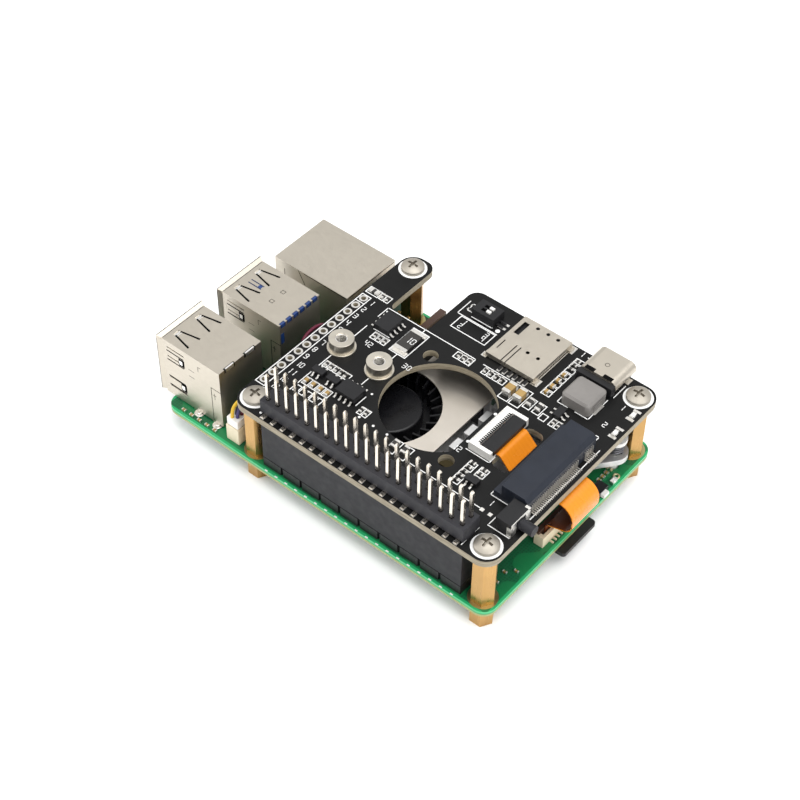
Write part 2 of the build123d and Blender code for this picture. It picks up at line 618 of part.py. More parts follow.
def make_fan_lead():
    x1 = -HOLE_SPAN_X / 2 - FAN_SOCKET_INSET
    x0 = x1 - FAN_SOCKET_LENGTH
    y0 = -HOLE_SPAN_Y / 2 - 2.1
    y1 = y0 + FAN_SOCKET_WIDTH
    z0 = MAIN_TOP
    z1 = MAIN_TOP + FAN_SOCKET_HEIGHT
    socket = block(x0, x1, y0, y1, z0, z1) - block(x0 + 0.5, x1 - 0.5, y0 + 0.5, y1 - 0.5,
                                                  z0 + 0.9, z1 + 1)
    save("fan_socket", socket)
    plug = block(x0 + 0.6, x1 - 0.6, y0 + 0.6, y1 - 0.6, z0 + 1.2, z1 + 2.2)
    plug += block(x0 + 0.2, x1 - 0.2, y0 + 0.2, y1 - 0.2, z1 + 0.1, z1 + 2.2)
    top = z1 + 2.2
    middle_x = (x0 + x1) / 2
    save("fan_plug", plug)
    wires = []
    for i in range(4):
        way = y0 + 0.95 + 0.6 * i
        start_x = middle_x + 0.9 * (i % 2) - 0.45
        next_x = start_x - 0.4
        angle = math.radians(162 - 4.4 * i)
        wall_r = SCROLL_R + 0.02     # the lead ends at the scroll wall
        drop = 0.9 * i
        points = [
            (start_x, way, top),
            (start_x, way, top + 1.6),
            (next_x, way + 4.0, top + 4.6 - 0.35 * i),
            (-35.0, -13.0 + i, 18.3 - drop),
            (-35.7, -4.6 + i, 18.7 - drop),
            (-34.6, 2.6 + i, 17.6 - drop),
            (FAN_X + 17.8 * math.cos(angle), FAN_Y + 17.8 * math.sin(angle), 13.6 - drop / 4),
            (FAN_X + wall_r * math.cos(angle), FAN_Y + wall_r * math.sin(angle), 13.2 - drop / 4),
        ]
        wires.append(tube(points, LEAD_R))
    save("fan_wires", *wires)


def tube(points, radius):
    """A round lead along straight runs that are joined by the largest tangent arcs."""
    bends = []
    for before, here, after in zip(points, points[1:], points[2:]):
        first = Vector(*here) - Vector(*before)
        second = Vector(*after) - Vector(*here)
        turn = math.radians(first.get_angle(second))
        bends.append(0.45 * min(first.length, second.length) / math.tan(turn / 2))
    path = FilletPolyline(*points, radius=bends)
    section = Plane(path @ 0, z_dir=path % 0) * Circle(radius)
    solid = sweep(section, path=path)
    share = solid.volume / (math.pi * radius ** 2 * path.length)
    print("lead", round(path.length, 1), "mm, bends", [round(b, 1) for b in bends],
          "volume share", round(share, 3))
    return solid


# ---------------------------------------------------------------- ribbon and its connectors
UPPER_RIBBON_LENGTH = 5.3
UPPER_RIBBON_HEIGHT = 2.0
UPPER_RIBBON_X1 = SLOT_X0 - 0.2
UPPER_RIBBON_X0 = UPPER_RIBBON_X1 - UPPER_RIBBON_LENGTH
LATCH_HINGE_X = UPPER_RIBBON_X1 - 2.6
LATCH_BAR_R = 0.5
LOWER_RIBBON_X = MAIN_X1 - LOWER_RIBBON_INSET
RIBBON_OUT_X = UPPER_X1 + RIBBON_OVERHANG
RIBBON_HIGH_Z = UPPER_TOP + 0.5
RIBBON_UNDER_Z = UPPER_BOTTOM - 0.9
LOWER_RIBBON_TOP = MAIN_TOP + 2.8
RIBBON_CONNECTOR_Y = -1.75


def make_ribbon():
    points = [
        (UPPER_RIBBON_X0 + 0.9, RIBBON_HIGH_Z),
        (SLOT_X0 + 0.7, RIBBON_HIGH_Z),
        (SLOT_X1 - 0.7, RIBBON_UNDER_Z),
        (RIBBON_OUT_X, RIBBON_UNDER_Z),
        (RIBBON_OUT_X, MAIN_TOP + 6.6),
        (LOWER_RIBBON_X, MAIN_TOP + 4.6),
        (LOWER_RIBBON_X, MAIN_TOP + 0.8),
    ]
    bends = [0.9, 0.9, 3.4, 2.6, 0.9]
    with_y = [(x, RIBBON_Y, z) for x, z in points]
    path = FilletPolyline(*with_y, radius=bends)
    section = Plane(path @ 0, x_dir=(0, 1, 0), z_dir=path % 0) * Rectangle(RIBBON_WIDTH, RIBBON_T)
    save("ribbon_cable", sweep(section, path=path))


def make_upper_ribbon_connector():
    half = RIBBON_CONNECTOR_WIDTH / 2
    y0 = RIBBON_CONNECTOR_Y - half
    y1 = RIBBON_CONNECTOR_Y + half
    z0 = UPPER_TOP
    z1 = z0 + UPPER_RIBBON_HEIGHT
    body = block(UPPER_RIBBON_X0, UPPER_RIBBON_X1, y0, y1, z0, z1)
    slit_y0 = RIBBON_Y - RIBBON_WIDTH / 2 - 0.2
    slit_y1 = RIBBON_Y + RIBBON_WIDTH / 2 + 0.2
    slit_low = RIBBON_HIGH_Z - RIBBON_T / 2 - FIT
    body -= block(UPPER_RIBBON_X0 + 0.7, UPPER_RIBBON_X1 + 1, slit_y0, slit_y1,
                  slit_low, RIBBON_HIGH_Z + RIBBON_T / 2 + FIT)
    latch_y0 = y0 + 1.0
    latch_y1 = y1 - 1.0
    body -= block(LATCH_HINGE_X - 0.75, UPPER_RIBBON_X1 + 1, latch_y0 - SEAT / 2,
                  latch_y1 + SEAT / 2, RIBBON_HIGH_Z + RIBBON_T / 2 + FIT, z1 + 1)
    save("upper_ribbon_connector", body)
    hinge_z = z1 - LATCH_BAR_R - FIT
    bar = Pos(LATCH_HINGE_X, (latch_y0 + latch_y1) / 2, hinge_z) * Rot(90, 0, 0) * Cylinder(
        LATCH_BAR_R, latch_y1 - latch_y0)
    flap = block(LATCH_HINGE_X, UPPER_RIBBON_X1 + 0.2, latch_y0, latch_y1,
                 hinge_z - LATCH_BAR_R, hinge_z + LATCH_BAR_R)
    save("upper_ribbon_latch", bar + flap)


def make_lower_ribbon_connector():
    """An upright connector on the main board: its ribbon goes in from above."""
    half = RIBBON_CONNECTOR_WIDTH / 2
    y0 = RIBBON_CONNECTOR_Y - half
    y1 = RIBBON_CONNECTOR_Y + half
    x0 = LOWER_RIBBON_X - 1.1
    x1 = LOWER_RIBBON_X + 1.1
    body = block(x0, x1, y0, y1, MAIN_TOP, LOWER_RIBBON_TOP)
    well_y0 = RIBBON_Y - RIBBON_WIDTH / 2 - 1.0
    well_y1 = RIBBON_Y + RIBBON_WIDTH / 2 + 1.0
    body -= block(x0 + 0.4, LOWER_RIBBON_X + 0.4, well_y0, well_y1,
                  MAIN_TOP + 0.6, LOWER_RIBBON_TOP + 1)
    tails = [block(x1, x1 + 0.9, y0 + 2.4 + i * 1.0 - 0.15, y0 + 2.4 + i * 1.0 + 0.15,
                   MAIN_TOP, MAIN_TOP + 0.4) for i in range(8)]
    save("lower_ribbon_connector", body + tails)
    gap = RIBBON_T / 2 + FIT
    latch = block(x0 + 0.5, LOWER_RIBBON_X - gap, well_y0 + 0.1, well_y1 - 0.1,
                  MAIN_TOP + 1.0, LOWER_RIBBON_TOP + 0.5)
    latch += block(x0, LOWER_RIBBON_X - gap, y0 + 0.3, y1 - 0.3,
                   LOWER_RIBBON_TOP + FIT, LOWER_RIBBON_TOP + 0.9)
    save("lower_ribbon_latch", latch)


# ---------------------------------------------------------------- module slot and nuts
def make_module_slot():
    y0 = NUT_Y - M2_WIDTH / 2
    y1 = NUT_Y + M2_WIDTH / 2
    x0 = M2_FRONT_X
    x1 = x0 + M2_DEPTH
    z0 = UPPER_TOP
    body = block(x0, x1, y0, y1, z0, z0 + M2_HEIGHT)
    body += block(x0 - 1.8, x0 + 1, y0, y1, z0, z0 + 1.6)
    mouth = block(x0 - 3, x0 + 4.6, y0 + 1.0, y1 - 1.0, z0 + 2.5, z0 + 3.65)
    body -= mouth
    top_edges = [e for e in body.edges().filter_by(Axis.Y)
                 if e.center().Z > z0 + M2_HEIGHT - 0.1 and e.center().X > x1 - 0.1]
    body = chamfer(top_edges, 0.9)
    key_y = NUT_Y + 6.1
    body += block(x0 + 0.4, x0 + 4.8, key_y - 0.4, key_y + 0.4, z0 + 2.4, z0 + 3.8)
    save("module_slot", body)
    pitch = 0.5
    count = round((M2_WIDTH - 1.9) / pitch)
    contacts = []
    for i in range(count):
        y = NUT_Y + (i + 0.5 - count / 2) * pitch
        if abs(y - key_y) < 1.1:
            continue
        leg = block(x1, x1 + 0.25, y - 0.11, y + 0.11, z0 + 0.2, z0 + 2.2)
        leg += block(x1, x1 + 1.3, y - 0.11, y + 0.11, z0, z0 + 0.2)
        contacts.append(leg)
    save("module_slot_contacts", *contacts)


def make_module_nuts():
    nuts = []
    for x in NUT_XS:
        nut = post(x, NUT_Y, UPPER_TOP, UPPER_TOP + NUT_HEIGHT, NUT_R)
        nut += post(x, NUT_Y, UPPER_TOP, UPPER_TOP + 0.5, NUT_FLANGE_R)
        nut -= post(x, NUT_Y, UPPER_TOP - 1, UPPER_TOP + NUT_HEIGHT + 1, NUT_THREAD_R)
        nuts.append(nut)
    save("module_nuts", *nuts)


# ---------------------------------------------------------------- memory card and its socket
def make_card():
    z1 = MAIN_BOTTOM - 0.35
    z0 = z1 - CARD_T
    y0 = CARD_Y - CARD_WIDTH / 2
    y1 = CARD_Y + CARD_WIDTH / 2
    x1 = MAIN_X1 + CARD_OVERHANG
    x0 = x1 - CARD_LENGTH
    card = slab(x0, x1, y0, y1, z0, z1, 0.8)
    card -= block(x0 - 1, x0 + 6.0, y1 - 1.3, y1 + 1, z0 - 1, z1 + 1)
    save("memory_card", card)
    wall = 0.2
    gap = 0.15
    shell_x0 = x0 - 0.6
    shell_x1 = MAIN_X1 - 2.2
    shell = block(shell_x0, shell_x1, y0 - gap - wall - 0.6, y1 + gap + wall + 0.6,
                  z0 - gap - wall, MAIN_BOTTOM)
    shell -= block(shell_x0 + wall, shell_x1 + 1, y0 - gap, y1 + gap, z0 - gap, z1 + gap)
    save("card_socket", shell)


# ---------------------------------------------------------------- SIM socket, power inlets, coil
SIM_X0 = -1.2
SIM_LENGTH = 12.0
SIM_WIDTH = 13.4
SIM_HEIGHT = 1.4
SIM_INSET = 0.9                  # socket's mouth from the upper board's edge


def make_sim_socket():
    x0, x1 = SIM_X0, SIM_X0 + SIM_LENGTH
    y1 = UPPER_Y1 - SIM_INSET
    y0 = y1 - SIM_WIDTH
    z0 = UPPER_TOP
    height = SIM_HEIGHT
    wall = 0.2
    shell = block(x0, x1, y0, y1, z0 + 0.25, z0 + height)
    shell -= block(x0 + wall, x1 - wall, y0 + wall, y1 + 1, z0, z0 + height - wall)
    top = (z0 + height - 1, z0 + height + 1)
    holes = [post(x, y1 - 1.35, *top, 0.42) for x in (x0 + 4.2, x0 + 6.8, x0 + 9.3)]
    holes += [post(x, y0 + 5.2, *top, 0.42) for x in (x0 + 6.7, x0 + 9.3)]
    holes += [block(x0 + 0.9, x0 + 2.2, y0 + 8.0, y0 + 12.0, *top),
              block(x0 + 0.9, x0 + 1.15, y0 + 2.3, y0 + 5.2, *top),
              block(x0 + 3.7, x0 + 3.95, y0 - 1, y0 + 5.5, *top),
              block(x0 + 4.7, x0 + 4.95, y0 - 1, y0 + 5.5, *top)]
    tabs = [block(x, x + 0.8, y, y + 1.6, z0, z0 + 0.45)
            for x, y in ((x1 - wall, y0 - 0.2), (x1 - wall, y1 - 1.6), (x0 - 0.8 + wall, y0))]
    save("sim_socket_shell", shell - holes + tabs)
    inner = block(x0 + wall + FIT, x1 - wall - FIT, y0 + wall + FIT, y1 - 0.2,
                  z0, z0 + 0.5)
    inner -= block(x0 + 2.2, x1 - 1.2, y0 + 2.0, y1 - 1.6, z0 + 0.25, z0 + 1)
    legs = [block(x0 + 4.1 + i * 1.27, x0 + 4.1 + i * 1.27 + 0.5, y0 - 1.3, y0 - 0.05,
                  z0, z0 + 0.25) for i in range(6)]
    save("sim_socket_body", inner, *legs)


INLET_WIDTH = 8.9
INLET_HEIGHT = 3.2
INLET_OVERHANG = 1.0             # upper power inlet past its board
INLET_LENGTH = 7.3
INLET_X = 20.7
LOWER_INLET_X = 21.3
LOWER_INLET_LENGTH = 7.1
LOWER_INLET_OVERHANG = 1.3


def capsule_bar(x, z, width, height, y0, y1):
    """A bar along Y with a capsule section."""
    profile = RectangleRounded(width, height, height / 2 - 0.01)
    return Pos(x, y1, z) * Rot(90, 0, 0) * extrude(profile, y1 - y0)


def usb_c(x, y0, y1, z0):
    """A small power inlet along Y, open towards +Y: the shell and its inner tongue."""
    width = INLET_WIDTH
    height = INLET_HEIGHT
    z = z0 + height / 2
    shell = capsule_bar(x, z, width, height, y0, y1)
    shell -= capsule_bar(x, z, width - 0.6, height - 0.6, y0 + 0.6, y1 + 1)
    tongue = block(x - 3.3, x + 3.3, y0 + 0.6, y1 - 0.7, z - 0.35, z + 0.35)
    return shell, tongue


def make_power_inlets():
    x = INLET_X
    front_y = UPPER_Y1 + INLET_OVERHANG
    rear_y = front_y - INLET_LENGTH
    shell, tongue = usb_c(x, rear_y, front_y, UPPER_TOP)
    tail = block(x - 4.3, x + 4.3, rear_y - 1.4, rear_y, UPPER_TOP, UPPER_TOP + 2.6)
    save("upper_power_shell", shell)
    save("upper_power_insert", tongue, tail)
    front_y = MAIN_Y1 + LOWER_INLET_OVERHANG
    lower_shell, lower_tongue = usb_c(LOWER_INLET_X, front_y - LOWER_INLET_LENGTH,
                                      front_y, MAIN_TOP)
    ports = [lower_shell, lower_tongue]
    for port_x in (6.7, -6.7):
        width, height = 6.6, 3.2
        y0, y1 = MAIN_Y1 - 6.4, MAIN_Y1 + 1.2
        port = block(port_x - width / 2, port_x + width / 2, y0, y1, MAIN_TOP, MAIN_TOP + height)
        port -= block(port_x - width / 2 + 0.3, port_x + width / 2 - 0.3, y0 + 0.6, y1 + 1,
                      MAIN_TOP + 0.3, MAIN_TOP + height - 0.3)
        ports.append(port)
        ports.append(block(port_x - 2.2, port_x + 2.2, y0 + 0.6, y1 - 0.8,
                           MAIN_TOP + 1.2, MAIN_TOP + 1.8))
    save("edge_ports", *ports)


def make_inductor():
    x0, x1 = 17.8, 24.6
    y0, y1 = 13.4, 20.0
    height = 3.0
    core = slab(x0, x1, y0, y1, UPPER_TOP, UPPER_TOP + height, 0.9)
    rim = [e for e in core.edges() if e.center().Z > UPPER_TOP + height - 0.01]
    core = chamfer(rim, 0.5)
    core -= [block(x0 - 1, x0 + 0.3, 15.2, 18.2, UPPER_TOP - 1, UPPER_TOP + 1.6),
             block(x1 - 0.3, x1 + 1, 15.2, 18.2, UPPER_TOP - 1, UPPER_TOP + 1.6)]
    ends = [block(x0 - 0.1, x0 + 0.3, 15.2, 18.2, UPPER_TOP, UPPER_TOP + 1.6),
            block(x1 - 0.3, x1 + 0.1, 15.2, 18.2, UPPER_TOP, UPPER_TOP + 1.6)]
    save("power_coil", core, *ends)


# ---------------------------------------------------------------- switches
RESET_Y = -17.2
RESET_INSET = 1.4                # switch's front from the upper board's end
RESET_LENGTH = 3.6
RESET_TRAVEL = 0.35
RESET_BUTTON_R = 1.15
RESET_FLANGE_R = 1.35
RESET_REACH = 3.3                # button past the switch's front
POWER_INSET = 0.6
POWER_Y = 10.7


def make_reset_switch():
    x1 = UPPER_X1 - RESET_INSET
    x0 = x1 - RESET_LENGTH
    y0 = RESET_Y - 2.9
    y1 = RESET_Y + 2.9
    z0 = UPPER_TOP
    z1 = z0 + 3.3
    button_z = z0 + 1.6
    body = block(x0, x1, y0, y1, z0, z1)
    gap = 0.1
    body -= rod_x(x0 + 1.0, x1 + 1, RESET_Y, button_z, RESET_BUTTON_R + gap)
    body -= rod_x(x0 + 1.0, x1 - 0.5, RESET_Y, button_z, RESET_FLANGE_R + gap)
    save("reset_switch", body)
    inner_x = x0 + 1.0 + RESET_TRAVEL + gap
    plunger = rod_x(inner_x, x1 + RESET_REACH, RESET_Y, button_z, RESET_BUTTON_R)
    plunger += rod_x(inner_x, x1 - 0.5 - gap, RESET_Y, button_z, RESET_FLANGE_R)
    save("reset_button", plunger)


def make_power_switch():
    x1 = MAIN_X1 - POWER_INSET
    x0 = x1 - 2.3
    y = POWER_Y
    body = block(x0, x1, y - 1.75, y + 1.75, MAIN_TOP, MAIN_TOP + 1.6)
    body -= block(x1 - 1.0, x1 + 1, y - 1.0, y + 1.0, MAIN_TOP + 0.3, MAIN_TOP + 1.3)
    save("power_switch", body)
    button = block(x1 - 0.6, x1 + 0.9, y - 0.85, y + 0.85, MAIN_TOP + 0.4, MAIN_TOP + 1.2)
    save("power_button", button)


MODE_X0 = -10.6
MODE_LENGTH = 5.6
MODE_WIDTH = 3.8
MODE_HEIGHT = 2.1
MODE_INSET = 3.1


def make_mode_switch():
    """A two-way slide switch with one small slider for each way."""
    x0 = MODE_X0
    x1 = x0 + MODE_LENGTH
    y1 = UPPER_Y1 - MODE_INSET
    y0 = y1 - MODE_WIDTH
    z0 = UPPER_TOP
    z1 = z0 + MODE_HEIGHT
    body = block(x0, x1, y0, y1, z0, z1)
    ways = (y0 + 1.3, y0 + 2.5)
    centre = (x0 + x1) / 2
    windows = [block(centre - 1.2, centre + 1.2, y - 0.4, y + 0.4, z1 - 0.8, z1 + 1)
               for y in ways]
    legs = [block(x, x + 1.6, y - 0.25, y + 0.25, z0, z0 + 0.25)
            for x in (x0 - 1.6, x1) for y in ways]
    save("mode_switch", body - windows, *legs)
    for number, y in enumerate(ways, start=1):
        slider = block(centre + 0.1, centre + 1.1, y - 0.32, y + 0.32, z1 - 0.75, z1 + 0.3)
        save(f"mode_slider_{number}", slider)


# ---------------------------------------------------------------- main board ports and chips
CAMERA_XS = (-14.4, -21.6)
CAMERA_LENGTH = 3.0
CAMERA_WIDTH = 13.8
CAMERA_HEIGHT = 4.4
CAMERA_INSET = 0.8


def make_camera_connectors():
    housings = []
    y1 = MAIN_Y1 - CAMERA_INSET
    y0 = y1 - CAMERA_WIDTH
    for number, x in enumerate(CAMERA_XS, start=1):
        x0, x1 = x - CAMERA_LENGTH / 2, x + CAMERA_LENGTH / 2
        top = MAIN_TOP + CAMERA_HEIGHT
        body = block(x0, x1, y0, y1, MAIN_TOP, top)
        body -= block(x - 0.9, x + 0.5, y0 + 0.9, y1 - 0.9, MAIN_TOP + 0.8, top + 1)
        housings.append(body)
        latch = block(x - 0.8, x + 0.1, y0 + 1.0, y1 - 1.0, MAIN_TOP + 2.2, top + 0.8)
        latch += block(x - 1.5, x + 0.1, y0 + 0.2, y1 - 0.2, top + FIT, top + 1.1)
        save(f"camera_latch_{number}", latch)
    save("camera_connectors", *housings)


PROCESSOR_X = -12.0
PROCESSOR_Y = -1.0
PROCESSOR_SIZE = 17.0


def make_main_chips():
    gap = 0.5
    lid_top = SINK_BOTTOM - gap
    base_top = MAIN_TOP + 1.1
    x, y = PROCESSOR_X, PROCESSOR_Y
    half = PROCESSOR_SIZE / 2
    lid = half - 1.5
    pad = lid - 0.5
    processor = slab(x - half, x + half, y - half, y + half, MAIN_TOP, base_top, 0.6)
    processor += slab(x - lid, x + lid, y - lid, y + lid, base_top, lid_top, 0.8)
    save("processor", processor)
    pads = [block(x - pad, x + pad, y - pad, y + pad, lid_top, SINK_BOTTOM),
            block(2.4, 8.6, -5.6, 5.0, base_top, SINK_BOTTOM)]
    save("thermal_pads", *pads)
    memory = block(0.5, 10.5, -7.5, 7.0, MAIN_TOP, base_top)
    bridge = block(-31.5, -22.5, -8.0, 1.0, MAIN_TOP, MAIN_TOP + 1.3)
    supply = block(16.5, 21.5, 9.0, 14.0, MAIN_TOP, MAIN_TOP + 0.9)
    radio = block(16.0, 26.0, -13.5, -2.0, MAIN_TOP, MAIN_TOP + 1.4)
    save("main_board_chips", memory, bridge, supply, radio)


def make_main_parts():
    """Small soldered parts that show round the edges of the main board."""
    parts = []
    for i in range(3):
        parts.append(block(28.6, 29.6, 12.9 + i * 1.3, 13.7 + i * 1.3, MAIN_TOP, MAIN_TOP + 0.5))
    parts.append(block(31.0, 32.0, 14.2, 15.9, MAIN_TOP, MAIN_TOP + 0.7))
    for x, y in ((28.2, -17.6), (29.8, -16.0), (28.4, -20.4), (24.2, -19.2), (22.0, -17.0)):
        parts.append(block(x, x + 1.0, y, y + 0.5, MAIN_TOP, MAIN_TOP + 0.5))
    for i in range(5):
        parts.append(block(-48.5 + i * 2.2, -47.5 + i * 2.2, -27.2, -26.6,
                           MAIN_TOP, MAIN_TOP + 0.5))
    for i in range(4):
        parts.append(block(11.6 + i * 1.4, 12.5 + i * 1.4, 19.0, 20.6, MAIN_TOP, MAIN_TOP + 0.8))
    for dx in (0, PIN_PITCH):
        for dy in (0, PIN_PITCH):
            parts.append(Pos(-27.6 + dx, 15.8 + dy, 0) * square_pin(MAIN_TOP, MAIN_TOP + 8.0))
    save("main_board_parts", *parts)


# ---------------------------------------------------------------- small parts of the upper board
def flat_chip(x, y, length, width, height, legs_along_x, leg_rows):
    """A moulded chip with gull legs on two sides: the body and its legs."""
    z0 = UPPER_TOP
    body = block(x - length / 2, x + length / 2, y - width / 2, y + width / 2,
                 z0 + 0.1, z0 + height)
    legs = []
    reach = 1.0
    for i in range(leg_rows):
        step = (i - (leg_rows - 1) / 2) * 1.27
        for side in (-1, 1):
            if legs_along_x:
                a = x + side * length / 2
                lo, hi = sorted((a, a + side * reach))
                legs.append(block(lo, hi, y + step - 0.2, y + step + 0.2, z0, z0 + 0.3))
            else:
                a = y + side * width / 2
                lo, hi = sorted((a, a + side * reach))
                legs.append(block(x + step - 0.2, x + step + 0.2, lo, hi, z0, z0 + 0.3))
    return [body] + legs


def chip_row(x, y, count, pitch, along_x, length, width, height):
    """A row of small two-ended parts."""
    row = []
    for i in range(count):
        cx = x + i * pitch if along_x else x
        cy = y if along_x else y + i * pitch
        row.append(block(cx - length / 2, cx + length / 2, cy - width / 2, cy + width / 2,
                         UPPER_TOP, UPPER_TOP + height))
    return row


def make_upper_parts():
    parts = flat_chip(-21.7, 7.8, 3.9, 4.9, 1.5, True, 4)
    parts += flat_chip(-15.2, -11.7, 4.9, 3.9, 1.5, False, 4)
    parts += flat_chip(-23.7, -11.4, 2.9, 1.6, 1.1, False, 2)
    parts += flat_chip(-19.9, -11.4, 2.9, 1.6, 1.1, False, 2)
    parts += flat_chip(17.4, -14.1, 2.9, 1.6, 1.1, False, 2)
    parts += flat_chip(19.8, 10.6, 1.6, 2.9, 1.1, True, 2)
    parts.append(block(-17.1, -13.9, 3.7, 10.1, UPPER_TOP, UPPER_TOP + 0.7))
    parts += chip_row(8.6, 9.2, 2, 2.6, True, 1.8, 3.2, 1.6)
    parts += chip_row(14.3, 13.7, 4, 1.95, False, 1.2, 1.0, 0.8)
    parts += chip_row(31.1, 13.4, 2, 6.1, False, 0.9, 1.7, 0.7)
    parts += chip_row(13.6, 9.3, 2, 2.2, True, 1.2, 2.0, 0.8)
    parts += chip_row(-24.1, -8.6, 5, 1.25, True, 0.7, 1.3, 0.5)
    parts += chip_row(-24.2, -14.7, 4, 1.85, True, 0.8, 1.6, 0.6)
    parts += chip_row(-5.2, 10.6, 3, 1.3, True, 0.7, 1.3, 0.5)
    parts += chip_row(1.4, 10.6, 4, 1.35, True, 0.7, 1.3, 0.5)
    parts += chip_row(-21.9, 3.9, 3, 1.3, True, 0.7, 1.3, 0.5)
    parts += chip_row(14.7, -15.6, 5, 1.3, False, 1.3, 0.7, 0.5)
    parts += chip_row(17.5, -11.7, 2, 1.3, False, 1.3, 0.7, 0.5)
    parts += chip_row(-10.6, -13.7, 2, 1.3, True, 0.7, 1.3, 0.5)
    parts += chip_row(0.3, -16.4, 2, 2.5, True, 1.2, 2.0, 0.8)
    parts += chip_row(14.2, 22.0, 3, 1.3, False, 1.3, 0.7, 0.5)
    parts.append(block(-31.6, -29.2, 13.0, 14.2, UPPER_TOP, UPPER_TOP + 0.6))
    parts += chip_row(-28.2, 13.7, 2, 1.3, True, 0.7, 1.3, 0.5)
    parts += chip_row(20.3, 8.2, 2, 1.3, True, 0.7, 1.3, 0.5)
    save("upper_board_parts", *parts)


# ---------------------------------------------------------------- build everything
def main():
    os.makedirs("parts", exist_ok=True)
    make_main_board()
    make_upper_board()
    make_fasteners()
    make_lower_header()
    make_upper_header()
    make_usb("usb2", USB2_Y)
    make_usb("usb3", USB3_Y)
    make_ethernet()
    make_heatsink()
    make_blower()
    make_push_pins()
    make_fan_lead()
    make_ribbon()
    make_upper_ribbon_connector()
    make_lower_ribbon_connector()
    make_module_slot()
    make_module_nuts()
    make_card()
    make_sim_socket()
    make_power_inlets()
    make_inductor()
    make_reset_switch()
    make_power_switch()
    make_mode_switch()
    make_camera_connectors()
    make_main_chips()
    make_main_parts()
    make_upper_parts()


main()
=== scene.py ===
"""Looks for the stacked single board computer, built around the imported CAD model."""
import math

import bmesh
import bpy
from mathutils import Matrix, Vector


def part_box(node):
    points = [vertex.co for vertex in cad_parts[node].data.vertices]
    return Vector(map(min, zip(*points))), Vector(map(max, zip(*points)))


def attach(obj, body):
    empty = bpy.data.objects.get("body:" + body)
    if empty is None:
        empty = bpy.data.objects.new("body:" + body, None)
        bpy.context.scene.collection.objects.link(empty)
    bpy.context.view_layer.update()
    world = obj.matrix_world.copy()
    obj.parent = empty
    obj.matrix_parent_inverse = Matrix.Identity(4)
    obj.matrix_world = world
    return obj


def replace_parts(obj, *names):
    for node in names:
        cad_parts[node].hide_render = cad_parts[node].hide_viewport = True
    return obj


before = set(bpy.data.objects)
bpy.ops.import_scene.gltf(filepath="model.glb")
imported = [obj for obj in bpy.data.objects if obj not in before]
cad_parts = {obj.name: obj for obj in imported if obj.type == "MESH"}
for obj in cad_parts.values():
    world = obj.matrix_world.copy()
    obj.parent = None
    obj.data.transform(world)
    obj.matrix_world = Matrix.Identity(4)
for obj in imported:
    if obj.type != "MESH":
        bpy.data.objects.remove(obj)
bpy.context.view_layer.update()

MM = 0.001
ROOT = "computer"


def box_mm(node):
    """A CAD node's lowest and highest corners, in millimetres."""
    low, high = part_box(node)
    return low / MM, high / MM


MAIN_LOW, MAIN_HIGH = box_mm("main_board")
UPPER_LOW, UPPER_HIGH = box_mm("upper_board")
MAIN_BOTTOM = MAIN_LOW.z
MAIN_TOP = MAIN_HIGH.z
UPPER_TOP = UPPER_HIGH.z
PRINT_T = 0.02                   # thickness of white print
RING_T = 0.03                    # and of the gold rings and test pads
PRINT_Z = UPPER_TOP + PRINT_T    # top of the white print on the upper board
PAD_Z = UPPER_TOP + 0.05         # top of its solder pads
PIN_PITCH = 2.54
PROUD = 0.015                    # dark seams stand out this much from the sheet they mark


# ---------------------------------------------------------------- camera, floor and lights
def add_camera():
    """The camera at the photograph's angle: a long lens, high over the header side."""
    azimuth = math.radians(39.17)
    elevation = math.radians(47.06)
    roll = math.radians(0.853)
    distance = 0.36286
    target = Vector((-0.012397, 0.000458, 0.012))
    back = Vector((math.sin(azimuth) * math.cos(elevation),
                   -math.cos(azimuth) * math.cos(elevation), math.sin(elevation)))
    right = (-back).cross(Vector((0, 0, 1))).normalized()
    up = right.cross(-back)
    turned_right = right * math.cos(roll) + up * math.sin(roll)
    turned_up = up * math.cos(roll) - right * math.sin(roll)
    data = bpy.data.cameras.new("camera")
    data.sensor_width = 36.0
    data.lens = 79.5
    data.clip_start = 0.01
    camera = bpy.data.objects.new("camera", data)
    turn = Matrix((turned_right, turned_up, back)).transposed().to_4x4()
    camera.matrix_world = Matrix.Translation(target + back * distance) @ turn
    bpy.context.scene.collection.objects.link(camera)
    bpy.context.scene.camera = camera


def add_area_light(name, place, target, size, watts):
    """A soft rectangular light that points at a place."""
    data = bpy.data.lights.new(name, "AREA")
    data.shape = "RECTANGLE"
    data.size, data.size_y = size
    data.energy = watts
    light = bpy.data.objects.new(name, data)
    light.location = place
    aim = Vector(target) - Vector(place)
    light.rotation_euler = aim.to_track_quat("-Z", "Y").to_euler()
    bpy.context.scene.collection.objects.link(light)


def add_studio():
    """A white floor under one big soft light overhead, with a weaker fill from each side."""
    mesh = bpy.data.meshes.new("floor")
    half = 3.0
    mesh.from_pydata([(-half, -half, 0), (half, -half, 0), (half, half, 0), (-half, half, 0)],
                     [], [(0, 1, 2, 3)])
    floor = bpy.data.objects.new("floor", mesh)
    bpy.context.scene.collection.objects.link(floor)
    mesh.materials.append(plain_material("floor_white", (0.93, 0.93, 0.93), 0.7))
    add_area_light("overhead", (0.14, 0.02, 0.75), (0, 0, 0), (0.7, 0.7), 6.0)
    add_area_light("left_fill", (-0.6, -0.35, 0.35), (0, 0, 0.01), (0.5, 0.5), 2.2)
    add_area_light("right_fill", (0.65, -0.2, 0.3), (0, 0, 0.01), (0.5, 0.4), 1.6)
    world = bpy.data.worlds.new("studio")
    world.use_nodes = True
    background = world.node_tree.nodes["Background"]
    background.inputs["Color"].default_value = (1, 1, 1, 1)
    background.inputs["Strength"].default_value = 0.8
    bpy.context.scene.world = world
    bpy.context.scene.view_settings.view_transform = "Standard"


